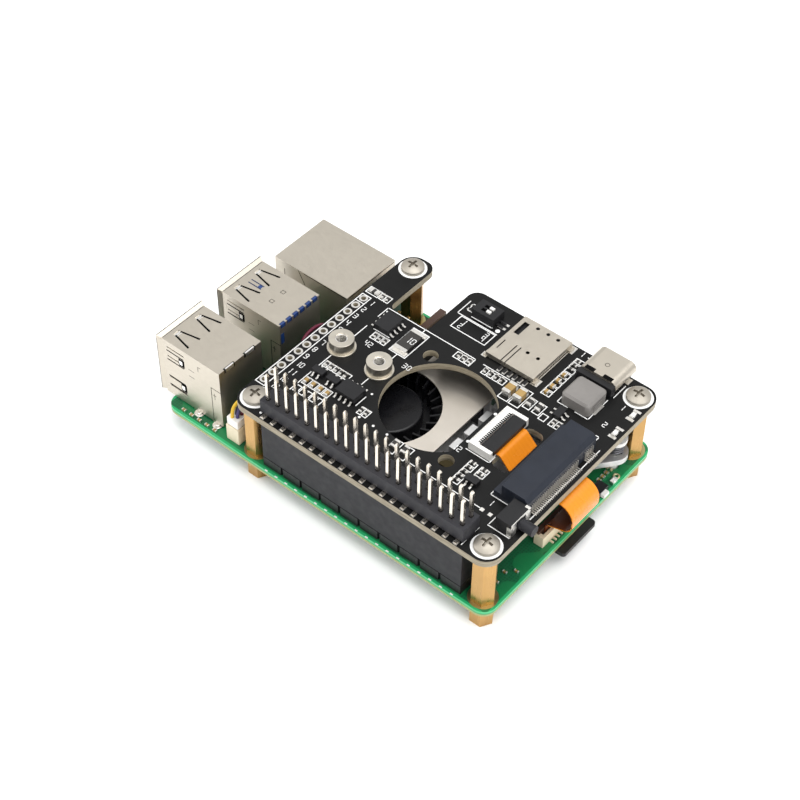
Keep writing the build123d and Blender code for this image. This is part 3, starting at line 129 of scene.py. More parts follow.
# ---------------------------------------------------------------- materials
def plain_material(name, color, roughness):
    """For the floor only, which isn't part of the object."""
    material = bpy.data.materials.new(name)
    material.use_nodes = True
    shader = material.node_tree.nodes["Principled BSDF"]
    shader.inputs["Base Color"].default_value = (*color, 1)
    shader.inputs["Roughness"].default_value = roughness
    return material


class Nodes:
    """A short way to write one material's node tree."""

    def __init__(self, name):
        self.material = bpy.data.materials.new(name)
        self.material.use_nodes = True
        self.tree = self.material.node_tree
        self.shader = self.tree.nodes["Principled BSDF"]
        self.coords = self.tree.nodes.new("ShaderNodeTexCoord")

    def node(self, kind, **values):
        made = self.tree.nodes.new("ShaderNode" + kind)
        for key, value in values.items():
            setattr(made, key, value)
        return made

    def link(self, source, target):
        self.tree.links.new(source, target)

    def place(self, stretch=(1, 1, 1)):
        """Object coordinates, stretched along the axes."""
        mapping = self.node("Mapping")
        self.link(self.coords.outputs["Object"], mapping.inputs["Vector"])
        mapping.inputs["Scale"].default_value = stretch
        return mapping.outputs["Vector"]

    def axes(self, source="Object"):
        """A coordinate's X, Y and Z."""
        split = self.node("SeparateXYZ")
        self.link(self.coords.outputs[source], split.inputs["Vector"])
        return [split.outputs[axis] for axis in "XYZ"]

    def noise(self, per_mm, detail=3.0, stretch=(1, 1, 1)):
        """Soft noise from 0 to 1, with this many lumps to the millimetre."""
        made = self.node("TexNoise")
        self.link(self.place(stretch), made.inputs["Vector"])
        made.inputs["Scale"].default_value = per_mm / MM
        made.inputs["Detail"].default_value = detail
        made.inputs["Roughness"].default_value = 0.55
        return made.outputs["Fac"]

    def ramp(self, value, stops):
        """Colours blended between stops, each a position and a colour."""
        made = self.node("ValToRGB")
        elements = made.color_ramp.elements
        while len(elements) < len(stops):
            elements.new(0.5)
        for element, (position, color) in zip(elements, stops):
            element.position = position
            element.color = (*color, 1)
        self.link(value, made.inputs["Fac"])
        return made.outputs["Color"]

    def spread(self, value, low, high, start=0.3, end=0.7):
        """The range from start to end, moved to the range from low to high."""
        made = self.node("MapRange")
        made.inputs["From Min"].default_value = start
        made.inputs["From Max"].default_value = end
        made.inputs["To Min"].default_value = low
        made.inputs["To Max"].default_value = high
        self.link(value, made.inputs["Value"])
        return made.outputs["Result"]

    def math(self, operation, first, second=0.0):
        made = self.node("Math", operation=operation)
        for socket, value in zip(made.inputs, (first, second)):
            if isinstance(value, (int, float)):
                socket.default_value = value
            else:
                self.link(value, socket)
        return made.outputs["Value"]

    def mix(self, factor, first, second):
        made = self.node("Mix", data_type="RGBA")
        for socket, value in ((made.inputs[0], factor), (made.inputs[6], first),
                              (made.inputs[7], second)):
            if isinstance(value, tuple):
                socket.default_value = (*value, 1)
            elif isinstance(value, float):
                socket.default_value = value
            else:
                self.link(value, socket)
        return made.outputs[2]

    def bump(self, height, strength, depth_mm):
        made = self.node("Bump")
        made.inputs["Strength"].default_value = strength
        made.inputs["Distance"].default_value = depth_mm * MM
        self.link(height, made.inputs["Height"])
        self.link(made.outputs["Normal"], self.shader.inputs["Normal"])

    def finish(self, color, roughness, metallic=0.0, specular=None):
        """Join the colour and the gloss to the shader."""
        self.link(color, self.shader.inputs["Base Color"])
        self.link(roughness, self.shader.inputs["Roughness"])
        self.shader.inputs["Metallic"].default_value = metallic
        if specular is not None:
            self.shader.inputs["Specular IOR Level"].default_value = specular
        return self.material


def shade(color, factor):
    """A colour made lighter or darker."""
    return tuple(min(1.0, c * factor) for c in color)


def moulded(name, color, roughness=0.45, grain=3.0, depth=0.006, spread=0.12, specular=None):
    """Moulded plastic: faint mottling, a fine spark-eroded grain and uneven gloss."""
    n = Nodes(name)
    mottle = n.noise(0.25)
    tint = n.ramp(mottle, ((0.3, shade(color, 1 - spread)), (0.7, shade(color, 1 + spread))))
    fine = n.noise(grain, detail=4.0)
    n.bump(fine, 0.5, depth)
    gloss = n.spread(n.noise(0.6), roughness - 0.06, roughness + 0.08)
    return n.finish(tint, gloss, specular=specular)


def metal(name, color, roughness=0.3, stretch=(1, 1, 1), per_mm=0.8, depth=0.002, spread=0.08):
    """Plated or rolled sheet: tint and gloss vary along the rolling direction."""
    n = Nodes(name)
    cloud = n.noise(0.12, detail=4.0)
    tint = n.ramp(cloud, ((0.3, shade(color, 1 - spread)), (0.7, shade(color, 1 + spread / 2))))
    lines = n.noise(per_mm, detail=5.0, stretch=stretch)
    gloss = n.spread(lines, roughness - 0.07, roughness + 0.07)
    n.bump(lines, 0.35, depth)
    return n.finish(tint, gloss, metallic=1.0)


def edge_mask(n):
    """1 on faces that stand upright, 0 on a board's top and underside."""
    return n.math("LESS_THAN", n.math("ABSOLUTE", n.axes("Normal")[2]), 0.5)


def black_board():
    """Black mask over faint copper tracks, and the bare glass cloth of the cut edge."""
    n = Nodes("black_board")
    cloud = n.noise(0.09, detail=3.0)
    mask = n.ramp(cloud, ((0.3, (0.003, 0.003, 0.003)), (0.7, (0.006, 0.006, 0.006))))
    layers = n.noise(1.2, stretch=(0.25, 0.25, 6.0))
    cloth = n.ramp(layers, ((0.35, (0.2, 0.17, 0.12)), (0.65, (0.34, 0.3, 0.22))))
    color = n.mix(edge_mask(n), mask, cloth)
    n.bump(n.noise(0.5, detail=5.0), 0.2, 0.015)
    return n.finish(color, n.spread(n.noise(0.4), 0.38, 0.5), specular=0.18)


def beyond(n, value, limit_mm):
    """1 past a limit, 0 before it."""
    return n.math("GREATER_THAN", value, limit_mm * MM)


def short_of(n, value, limit_mm):
    """1 before a limit, 0 past it."""
    return n.math("LESS_THAN", value, limit_mm * MM)


def both(n, *masks):
    """1 where every mask is 1."""
    joined = masks[0]
    for mask in masks[1:]:
        joined = n.math("MULTIPLY", joined, mask)
    return joined


def green_board():
    """Green mask, darker in patches, with rows of holes, painted shade in the middle under the
    upper board, and a painted highlight along the rim.
    """
    n = Nodes("green_board")
    x, y, z = n.axes()
    patches = n.math("GREATER_THAN", n.noise(0.2, detail=0.0, stretch=(1, 1, 0)), 0.52)
    vias = n.node("TexVoronoi", feature="F1")
    n.link(n.place((1, 1, 0)), vias.inputs["Vector"])
    vias.inputs["Scale"].default_value = 1.7 / MM
    vias.inputs["Randomness"].default_value = 0.15
    dots = n.math("LESS_THAN", vias.outputs["Distance"], 0.3)
    # Painted shade: the top under the upper board is darkened, as if in its shadow.
    under_board_shade = both(n, beyond(n, x, -47.0), short_of(n, x, 25.0), beyond(n, y, -22.5),
                   beyond(n, z, MAIN_TOP - 0.4))
    base = n.mix(patches, (0.008, 0.155, 0.05), (0.006, 0.11, 0.04))
    base = n.mix(n.math("MULTIPLY", both(n, dots, patches), 0.6), base, (0.004, 0.05, 0.022))
    base = n.mix(n.math("MULTIPLY", under_board_shade, 0.8), base, (0.003, 0.012, 0.007))
    # Painted highlight: a lighter green band along the top's outer edges, where the rounded rim
    # catches the light.
    rim_mm = 0.6
    painted_rim_highlight = beyond(n, n.math("ABSOLUTE", y), MAIN_HIGH.y - rim_mm)
    painted_rim_highlight = n.math("MAXIMUM", painted_rim_highlight, beyond(n, x, MAIN_HIGH.x - rim_mm))
    painted_rim_highlight = n.math("MAXIMUM", painted_rim_highlight, short_of(n, x, MAIN_LOW.x + rim_mm))
    top = n.mix(painted_rim_highlight, base, (0.02, 0.33, 0.12))
    # The cut edge: tan cloth at the bottom and green mask above, lightening towards the top into a
    # painted highlight on the rounded rim.
    height = n.spread(z, 0.0, 1.0, MAIN_BOTTOM * MM, MAIN_TOP * MM)
    layers = n.ramp(height, (
        (0.0, (0.34, 0.32, 0.13)), (0.35, (0.3, 0.34, 0.13)), (0.5, (0.02, 0.25, 0.09)),
        (0.7, (0.06, 0.42, 0.17)), (1.0, (0.1, 0.5, 0.22))))
    color = n.mix(edge_mask(n), top, layers)
    n.bump(patches, 0.3, 0.02)
    return n.finish(color, n.spread(n.noise(0.4), 0.3, 0.44), specular=0.35)


def ribbon_film():
    """Amber film over copper lines, with brown painted shade inside the loop and near the lower
    connector.
    """
    n = Nodes("ribbon_film")
    lines = n.node("TexWave", wave_type="BANDS", bands_direction="Y")
    n.link(n.place(), lines.inputs["Vector"])
    lines.inputs["Scale"].default_value = 0.32 / MM
    lines.inputs["Distortion"].default_value = 0.0
    outside = n.ramp(lines.outputs["Fac"],
                     ((0.3, (0.68, 0.215, 0.012)), (0.7, (0.7, 0.225, 0.013))))
    z = n.axes()[2]
    facing_x, _, facing_z = n.axes("Normal")
    low, high = box_mm("ribbon_cable")
    upper_half = beyond(n, z, (low.z + high.z) / 2)
    sign = n.math("SUBTRACT", n.math("MULTIPLY", upper_half, 2.0), 1.0)
    outward = n.math("ADD", facing_x, n.math("MULTIPLY", facing_z, sign))
    # Painted shade: the loop's inner faces and the film below 11.2 mm, near the lower connector,
    # are darkened to brown.
    loop_and_connector_shade = n.math("MAXIMUM", n.math("LESS_THAN", outward, 0.0), short_of(n, z, 11.2))
    color = n.mix(loop_and_connector_shade, outside, (0.13, 0.035, 0.012))
    return n.finish(color, n.spread(n.noise(0.3), 0.2, 0.3), specular=0.4)


def cooler_cover():
    """Rolled sheet, with a far corner that the upper board keeps from the light left dark."""
    n = Nodes("cover")
    x, y, _ = n.axes()
    cloud = n.noise(0.1, detail=3.0)
    sheet = n.ramp(cloud, ((0.3, (0.62, 0.57, 0.5)), (0.7, (0.72, 0.67, 0.6))))
    far_corner = both(n, short_of(n, x, -12.5), beyond(n, y, 8.5))
    color = n.mix(far_corner, sheet, (0.02, 0.018, 0.015))
    return n.finish(color, n.spread(n.noise(0.8, stretch=(0.1, 1, 1)), 0.36, 0.42), metallic=1.0)


def cooler_metal():
    """Bare cast aluminium, with painted shade on a stretch between the fins by the pin header."""
    n = Nodes("cooler")
    x, y, _ = n.axes()
    cloud = n.noise(0.2, detail=4.0)
    bare = n.ramp(cloud, ((0.3, (0.56, 0.56, 0.56)), (0.7, (0.68, 0.67, 0.66))))
    # Painted shade: the stretch of fins seen through the upper board's holes is darkened.
    painted_fin_shade = both(n, beyond(n, x, 4.0), short_of(n, x, 12.0), short_of(n, y, -6.4))
    color = n.mix(painted_fin_shade, bare, (0.045, 0.035, 0.015))
    n.bump(n.noise(2.0, detail=4.0), 0.3, 0.004)
    return n.finish(color, n.spread(cloud, 0.38, 0.5), metallic=0.9)


WARM_SILVER = (0.56, 0.515, 0.44)
EVEN = (1, 1, 1)
METALS = {                       # colour, roughness, stretch, grain to the mm, depth, spread
    "brass": ((0.5, 0.3, 0.11), 0.3, (1, 1, 0.08), 1.2),
    "screw": ((0.4, 0.37, 0.32), 0.6, EVEN, 0.5, 0.0005),
    "shell": (WARM_SILVER, 0.4, (0.3, 1, 1), 3.0, 0.0004, 0.03),
    "shell_y": (WARM_SILVER, 0.4, (1, 0.3, 1), 3.0, 0.0004, 0.03),
    "tin": ((0.8, 0.78, 0.74), 0.34, EVEN, 1.5),
    # Painted highlight: a lighter copy of the shell metal, for the tongue tips and tabs that catch
    # the light.
    "painted_highlight_tip": ((0.95, 0.94, 0.92), 0.4, EVEN, 0.5, 0.0005),
    "pin": ((0.78, 0.72, 0.63), 0.22, (1, 1, 0.1), 2.0),
    "nut": ((0.62, 0.58, 0.5), 0.36, EVEN, 0.5, 0.0005),
    "leg": ((0.68, 0.65, 0.6), 0.34, EVEN, 1.5),
    "cream_gold": ((0.85, 0.72, 0.45), 0.4),
    "ring_gold": ((0.42, 0.36, 0.17), 0.4),
    "gold": ((0.75, 0.5, 0.2), 0.28),
    "spring": ((0.12, 0.12, 0.13), 0.35),
}
MOULDINGS = {                    # colour, roughness, grain to the mm, depth, spread, specular
    "black": ((0.009, 0.009, 0.010), 0.45, 3.0, 0.006, 0.12, 0.3),
    "soft_black": ((0.016, 0.016, 0.019), 0.55, 5.0, 0.006, 0.12, 0.25),
    "fan_black": ((0.004, 0.004, 0.005), 0.3, 3.0, 0.006, 0.12, 0.3),
    "grey": ((0.022, 0.022, 0.026), 0.5, 4.0, 0.006, 0.12, 0.22),
    "slate": ((0.012, 0.015, 0.023), 0.4, 3.0, 0.006, 0.12, 0.3),
    "white": ((0.72, 0.71, 0.68), 0.4, 3.0, 0.006, 0.03),
    "cream": ((0.66, 0.58, 0.42), 0.42, 3.0, 0.006, 0.04),
    "brown": ((0.055, 0.026, 0.016), 0.42),
    "blue": ((0.01, 0.035, 0.14), 0.35),
    "blue_gap": ((0.006, 0.016, 0.06), 0.5),
    "pad": ((0.35, 0.38, 0.45), 0.8),
    "ferrite": ((0.17, 0.16, 0.15), 0.5, 6.0, 0.015, 0.1),
    "tan": ((0.3, 0.19, 0.06), 0.42, 6.0),
    "dark_part": ((0.02, 0.018, 0.016), 0.4, 6.0),
    "gap": ((0.003, 0.003, 0.003), 0.8, 3.0, 0.006, 0.12, 0.05),
    "print": ((0.72, 0.72, 0.71), 0.6, 3.0, 0.006, 0.05, 0.1),
    "red_wire": ((0.11, 0.008, 0.028), 0.35),
    "black_wire": ((0.01, 0.01, 0.01), 0.35),
    "blue_wire": ((0.03, 0.02, 0.12), 0.35),
    "yellow_wire": ((0.6, 0.38, 0.01), 0.35),
}
NODES_OF = {                     # each material's CAD nodes
    "green_board": "main_board",
    "black_board": "upper_board",
    "brass": "board_feet board_standoffs",
    "screw": "upper_screws module_nuts",
    "shell": "usb2_shell usb3_shell ethernet_shell card_socket",
    "shell_y": "sim_socket_shell upper_power_shell edge_ports",
    "pin": "upper_header_pins",
    "gold": "lower_header_pins usb2_contacts usb3_contacts ethernet_contacts",
    "leg": "module_slot_contacts",
    "tin": "processor",
    "spring": "push_pin_springs",
    "cooler": "heatsink",
    "cover": "blower_cover",
    "ribbon": "ribbon_cable",
    "grey": "upper_header_base",
    "slate": "module_slot",
    "soft_black": "stacking_socket reset_button",
    "fan_black": "blower_housing fan_impeller",
    "black": "lower_header_base usb2_insert ethernet_housing fan_motor upper_ribbon_latch"
             " memory_card sim_socket_body upper_power_insert reset_switch power_switch"
             " mode_switch main_board_chips",
    "white": "push_pins fan_plug upper_ribbon_connector power_button mode_slider_1"
             " mode_slider_2",
    "cream": "fan_socket lower_ribbon_connector camera_connectors",
    "brown": "lower_ribbon_latch camera_latch_1 camera_latch_2",
    "blue": "usb3_insert",
    "red_wire": "fan_wires",
    "pad": "thermal_pads",
    "ferrite": "power_coil",
    "tan": "main_board_parts upper_board_parts",
}


def build_materials():
    """Every material, by its name."""
    materials = {"green_board": green_board(), "black_board": black_board(),
                 "cooler": cooler_metal(), "cover": cooler_cover(), "ribbon": ribbon_film()}
    for name, look in METALS.items():
        materials[name] = metal(name, *look)
    for name, look in MOULDINGS.items():
        materials[name] = moulded(name, *look)
    return materials


def dress_nodes(materials):
    """Give every CAD node its material."""
    for material, names in NODES_OF.items():
        for name in names.split():
            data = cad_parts[name].data
            data.materials.clear()
            data.materials.append(materials[material])


# ---------------------------------------------------------------- building small pieces
def circle(x, y, radius, count=24):
    """Points round a circle, anticlockwise."""
    turns = [2 * math.pi * i / count for i in range(count)]
    return [(x + radius * math.cos(a), y + radius * math.sin(a)) for a in turns]


def along_x(u, v, w):
    """A point of a Y-Z outline, at w along X."""
    return (w, u, v)


def along_y(u, v, w):
    """A point of an X-Z outline, at w along Y."""
    return (u, w, v)


def along_z(u, v, w):
    """A point of an X-Y outline, at w along Z."""
    return (u, v, w)


class Pieces:
    """Closed solids, in millimetres, that are collected into one mesh."""

    def __init__(self):
        self.mesh = bmesh.new()

    def loft(self, low, high):
        """A closed solid between two loops of as many points."""
        low = [self.mesh.verts.new(point) for point in low]
        high = [self.mesh.verts.new(point) for point in high]
        self.mesh.faces.new(low[::-1])
        self.mesh.faces.new(high)
        for i in range(len(low)):
            k = (i + 1) % len(low)
            self.mesh.faces.new((low[i], low[k], high[k], high[i]))

    def prism(self, outline, start, end, place=along_z):
        """An outline drawn out along one axis."""
        self.loft([place(u, v, start) for u, v in outline],
                  [place(u, v, end) for u, v in outline])

    def cone(self, x, y, wide, narrow, z0, z1, count=14):
        """A round blob of solder, wide at z0 and narrow at z1."""
        self.loft([(u, v, z0) for u, v in circle(x, y, wide, count)],
                  [(u, v, z1) for u, v in circle(x, y, narrow, count)])

    def box(self, x0, x1, y0, y1, z0, z1):
        """A box between two places along each axis."""
        self.prism([(x0, y0), (x1, y0), (x1, y1), (x0, y1)], z0, z1)

    def block(self, low, high):
        """A box between two corners."""
        self.box(low.x, high.x, low.y, high.y, low.z, high.z)

    def ring(self, x, y, inner, outer, z0, z1, count=32):
        """A flat washer."""
        loops = [[self.mesh.verts.new((u, v, z)) for u, v in circle(x, y, radius, count)]
                 for radius, z in ((inner, z0), (outer, z0), (outer, z1), (inner, z1))]
        for i in range(count):
            k = (i + 1) % count
            for first, second in zip(loops, loops[1:] + loops[:1]):
                self.mesh.faces.new((first[i], first[k], second[k], second[i]))

    def stroke(self, xa, ya, xb, yb, width, z0, z1):
        """A straight line of print."""
        length = math.hypot(xb - xa, yb - ya)
        dx = (xb - xa) / length * width / 2
        dy = (yb - ya) / length * width / 2
        outline = [(xa - dx - dy, ya - dy + dx), (xa - dx + dy, ya - dy - dx),
                   (xb + dx + dy, yb + dy - dx), (xb + dx - dy, yb + dy + dx)]
        self.prism(outline, z0, z1)

    def frame(self, x0, x1, y0, y1, width, z0, z1):
        """Four lines of print round a rectangle."""
        self.box(x0, x1, y0, y0 + width, z0, z1)
        self.box(x0, x1, y1 - width, y1, z0, z1)
        self.box(x0, x0 + width, y0 + width, y1 - width, z0, z1)
        self.box(x1 - width, x1, y0 + width, y1 - width, z0, z1)

    def finish(self, name, material, slot, body=ROOT, bevel=0.0):
        """Turn the solids into one object that rides on a body."""
        bmesh.ops.recalc_face_normals(self.mesh, faces=self.mesh.faces)
        bmesh.ops.scale(self.mesh, vec=(MM, MM, MM), verts=self.mesh.verts)
        data = bpy.data.meshes.new(name)
        self.mesh.to_mesh(data)
        self.mesh.free()
        piece = bpy.data.objects.new(name, data)
        bpy.context.scene.collection.objects.link(piece)
        data.materials.append(MATERIALS[material])
        if bevel:
            soften(piece, bevel)
        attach(piece, body)
        return piece


def soften(piece, width_mm):
    """Round a piece's sharp edges a little, so that they catch the light."""
    weld = piece.modifiers.new("weld", "WELD")
    weld.merge_threshold = 1e-6
    bevel = piece.modifiers.new("bevel", "BEVEL")
    bevel.width = width_mm * MM
    bevel.segments = 2
    bevel.limit_method = "ANGLE"
    bevel.angle_limit = math.radians(50)


def island_boxes(node):
    """The lowest and highest corner of each separate solid of a CAD node, in millimetres."""
    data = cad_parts[node].data
    keys = [tuple(round(c / MM, 4) for c in v.co) for v in data.vertices]
    parent = {key: key for key in keys}

    def root(key):
        while parent[key] != key:
            parent[key] = parent[parent[key]]
            key = parent[key]
        return key

    for polygon in data.polygons:
        first, *others = (root(keys[v]) for v in polygon.vertices)
        for other in others:
            parent[root(other)] = root(first)
    groups = {}
    for key in parent:
        groups.setdefault(root(key), []).append(key)
    return [(Vector(map(min, *points)), Vector(map(max, *points)))
            for points in groups.values()]


def island_middles(node):
    """The middle of each separate solid of a CAD node."""
    return [(low + high) / 2 for low, high in island_boxes(node)]


# ---------------------------------------------------------------- print and pads, upper board
PRINT_WIDTH = 0.2
NUMBER_HEIGHT = 1.25
NUMBER_WIDTH = 0.16              # of its strokes
SIDE_HOLE_X = -31.0
SIDE_HOLE_Y = 10.75
SIDE_HOLE_COUNT = 13
OUTLINES = [                     # x0, x1, y0, y1 of single printed frames
    (-32.25, -29.7, -21.2, 11.9), (-17.5, -13.2, 2.7, 10.9), (-12.2, -3.2, 16.1, 20.0),
    (7.3, 9.8, 6.6, 12.0), (10.0, 12.5, 6.6, 12.0), (12.7, 14.5, 7.6, 10.8),
    (15.0, 16.8, 7.6, 10.8), (-0.7, 1.4, -18.6, -14.9), (1.9, 4.1, -18.6, -14.9),
    (-32.2, -28.9, 12.6, 14.7), (-12.4, -11.0, 22.0, 24.4), (17.0, 18.6, 7.0, 8.9),
]
GROUPS = [                       # x0, x1, y0, y1, number of frames along x, along y
    (-22.8, -18.7, 2.7, 5.0, 3, 1), (-6.4, -2.1, 9.4, 11.5, 3, 1), (0.7, 6.5, 9.5, 11.4, 4, 1),
    (-24.9, -18.0, -9.6, -7.6, 5, 1), (13.7, 15.8, -16.6, -9.9, 1, 5),
    (16.4, 18.6, -12.5, -9.8, 1, 2), (-11.2, -8.6, -14.9, -12.6, 2, 1),
    (-28.8, -26.1, 12.6, 14.7, 2, 1), (13.2, 15.5, 12.9, 25.6, 1, 8),
    (19.4, 21.9, 6.9, 9.2, 2, 1), (-24.9, -17.9, -15.8, -13.5, 4, 1),
    (-24.9, -17.9, -18.4, -16.4, 5, 1),
]
LINES = [                        # x, y of both ends of single printed lines
    (-25.2, 11.9, -2.1, 11.9), (-2.1, 11.9, -2.1, 9.5), (0.0, 11.8, 6.6, 11.8),
    (-25.2, 11.9, -25.2, 8.6), (-25.2, 5.0, -25.2, -10.3), (-25.2, -12.2, -25.2, -18.5),
    (-15.2, 12.0, -15.2, 11.0), (-15.2, 2.6, -15.2, 0.2), (-15.2, -6.3, -15.2, -8.3),
    (-23.5, 5.3, -19.5, 5.3), (-13.4, 20.2, -13.4, 24.6), (-13.4, 20.2, -3.2, 20.2),
    (-10.4, 21.1, -5.1, 21.1), (-5.1, 21.1, -5.1, 22.2), (17.3, 13.2, 19.8, 13.2),
    (21.7, 13.2, 24.8, 13.2), (17.3, 13.2, 17.3, 15.0), (24.8, 13.2, 24.8, 15.0),
    (24.8, 18.4, 24.8, 19.9), (21.9, -11.8, 21.9, -14.2), (21.9, -14.2, 26.5, -14.2),
    (31.3, -14.3, 31.3, 8.0), (28.5, 10.8, 29.2, 10.8), (29.2, 10.8, 29.2, 8.8),
    (25.3, 21.3, 25.3, 25.4), (25.2, -22.0, 25.2, -27.2), (26.1, -14.2, 26.1, -20.0),
    (-12.3, -10.4, -12.3, -13.4), (11.3, -8.2, 16.9, -8.2), (16.9, -8.2, 16.9, -6.3),
    (15.0, 27.0, 15.6, 27.0), (26.1, -20.4, 31.0, -20.4),
]
DOTS = [                         # x, y, radius
    (-9.8, -15.3, 0.28), (-6.2, -15.3, 0.28), (-2.7, -15.3, 0.28), (-25.3, -26.9, 0.3),
    (-11.9, -9.0, 0.25), (-3.7, 21.2, 0.5), (10.4, -6.5, 0.35), (10.1, 2.6, 0.35),
    (-24.6, 10.9, 0.25),
]
PADS = [                         # x0, x1, y0, y1 of solder pads
    (9.9, 11.9, 25.6, 27.8), (10.2, 11.9, 13.6, 15.7), (10.3, 10.55, 15.8, 25.6),
    (10.9, 11.1, 15.8, 25.6), (-2.2, -1.0, 13.6, 15.0), (24.6, 25.5, 26.0, 27.7),
    (-12.6, -11.6, 23.5, 24.1), (-12.6, -11.6, 22.2, 22.8), (-4.6, -2.7, 23.5, 24.1),
    (-4.6, -2.7, 22.2, 22.8), (22.6, 23.4, -18.6, -17.8), (24.5, 25.3, -18.6, -17.8),
    (30.2, 31.9, 18.2, 18.9), (30.2, 31.9, 20.9, 21.5), (30.2, 31.9, 12.2, 12.9),
    (30.2, 31.9, 14.9, 15.5), (-17.3, -13.5, 9.6, 10.7), (-17.3, -13.5, 3.0, 4.2),
    (23.8, 25.2, 15.0, 18.2), (-29.0, -28.2, 13.0, 14.3), (-31.9, -31.1, 13.0, 14.3),
]
SEGMENTS = {                     # strokes of a plain seven-part digit, one unit wide, two high
    "a": (0, 2, 1, 2), "b": (1, 2, 1, 1), "c": (1, 1, 1, 0), "d": (0, 0, 1, 0),
    "e": (0, 1, 0, 0), "f": (0, 2, 0, 1), "g": (0, 1, 1, 1),
}
DIGITS = ("abcdef", "bc", "abged", "abgcd", "fgbc", "afgcd", "afgedc", "abc", "abcdefg", "abcdfg")
NUMBERS = (                      # number, x, y
    (1, -10.9, 18.2), (2, -10.9, 16.8), (3, -5.0, 18.2), (4, -5.0, 16.8), (1, 27.8, 19.6),
    (2, 27.8, 13.6), (1, 13.1, 26.5), (1, 22.9, -16.4), (12, 9.0, -9.8), (30, -12.2, 0.6),
    (42, -22.4, 0.6),
)


def write_number(white, number, x, y, height=NUMBER_HEIGHT, z=UPPER_TOP):
    """A plain number in print, from its lower left corner."""
    unit = height / 2
    for place, digit in enumerate(str(number)):
        left = x + place * unit * 1.7
        for name in DIGITS[int(digit)]:
            xa, ya, xb, yb = SEGMENTS[name]
            white.stroke(left + xa * unit, y + ya * unit, left + xb * unit, y + yb * unit,
                         NUMBER_WIDTH, z, z + PRINT_T)


def add_print():
    """The white print on the upper board: frames, lines, dots and plain numbers."""
    white = Pieces()
    flat = (UPPER_TOP, PRINT_Z)
    for x0, x1, y0, y1 in OUTLINES:
        white.frame(x0, x1, y0, y1, PRINT_WIDTH, *flat)
    gap = 0.06
    for x0, x1, y0, y1, nx, ny in GROUPS:
        for i in range(nx):
            for j in range(ny):
                left = x0 + (x1 - x0) * i / nx
                low = y0 + (y1 - y0) * j / ny
                white.frame(left + gap, left + (x1 - x0) / nx - gap, low + gap,
                            low + (y1 - y0) / ny - gap, PRINT_WIDTH, *flat)
    for xa, ya, xb, yb in LINES:
        white.stroke(xa, ya, xb, yb, PRINT_WIDTH, *flat)
    for x, y, radius in DOTS:
        white.prism(circle(x, y, radius), *flat)
    white.box(-32.1, -29.9, 9.4, 9.6, *flat)
    for i in range(7):
        x = 4.8 + 2.65 * i
        white.box(x, x + 1.8, -18.2, -18.0, *flat)
    for middle in island_middles("upper_screws"):
        white.ring(middle.x, middle.y, 2.3, 3.1, *flat)
    for i in range(SIDE_HOLE_COUNT):
        write_number(white, i + 1, -29.1, SIDE_HOLE_Y - i * PIN_PITCH - 0.6)
    for number, x, y in NUMBERS:
        write_number(white, number, x, y)
    write_number(white, 10, -16.1, 6.2, 1.5, UPPER_TOP + 0.7)
    white.finish("print_upper", "print", "white_moulding")


def add_pads():
    """Tinned pads and hole rings on the upper board."""
    tin = Pieces()
    for x0, x1, y0, y1 in PADS:
        tin.box(x0, x1, y0, y1, UPPER_TOP, PAD_Z)
    for i in range(SIDE_HOLE_COUNT):
        tin.ring(SIDE_HOLE_X, SIDE_HOLE_Y - i * PIN_PITCH, 0.55, 0.95, UPPER_TOP, PAD_Z)
    base_low, base_high = box_mm("upper_header_base")
    between_rows_y = (base_low.y + base_high.y) / 2 - PIN_PITCH
    for low, high in island_boxes("upper_header_pins"):
        x = (low.x + high.x) / 2
        # the inner row has no pads, only flat faces under the moulding
        y0, y1 = (low.y - 0.25, low.y + 1.0) if low.y < between_rows_y else (high.y, high.y)
        tin.box(x - 0.5, x + 0.5, y0, y1, UPPER_TOP, PAD_Z)
    tin.finish("pads_upper", "tin", "tinned_pin")


# ---------------------------------------------------------------- small parts, upper board
LEG_PROFILE = [(-0.1, 0.62), (0.2, 0.62), (0.5, 0.22), (1.02, 0.2), (1.02, 0.0), (0.38, 0.03),
               (0.1, 0.44), (-0.1, 0.44)]


def add_leg(tin, low, high, body_middle):
    """A gull leg where the CAD has a flat one: out of the body, down, and flat on its pad."""
    long_x = high.x - low.x > high.y - low.y
    axis, across, place = (0, 1, along_y) if long_x else (1, 0, along_x)
    side = 1 if (low[axis] + high[axis]) / 2 > body_middle[axis] else -1
    root = low[axis] if side > 0 else high[axis]
    outline = [(root + side * u, UPPER_TOP + v) for u, v in LEG_PROFILE]
    tin.prism(outline, low[across], high[across], place=place)


def add_two_ended(ends, middle, low, high, share):
    """A small part with a metal cap at each end; a cap takes this share of its length."""
    gap = 0.03
    axis = 0 if high.x - low.x > high.y - low.y else 1
    cap = (high[axis] - low[axis]) * share
    first_end, last_start = high.copy(), low.copy()
    first_end[axis] = low[axis] + cap
    last_start[axis] = high[axis] - cap
    ends.block(low, first_end)
    ends.block(last_start, high)
    middle_low, middle_high = low + Vector((gap, gap, 0)), high - Vector((gap, gap, gap))
    middle_low[axis] = first_end[axis]
    middle_high[axis] = last_start[axis]
    middle.block(middle_low, middle_high)


def finish_parts(parts):
    """Turn small parts into pieces, one after another."""
    for name, pieces, slot, material in parts:
        yield pieces.finish(name, material, slot, bevel=0.05)


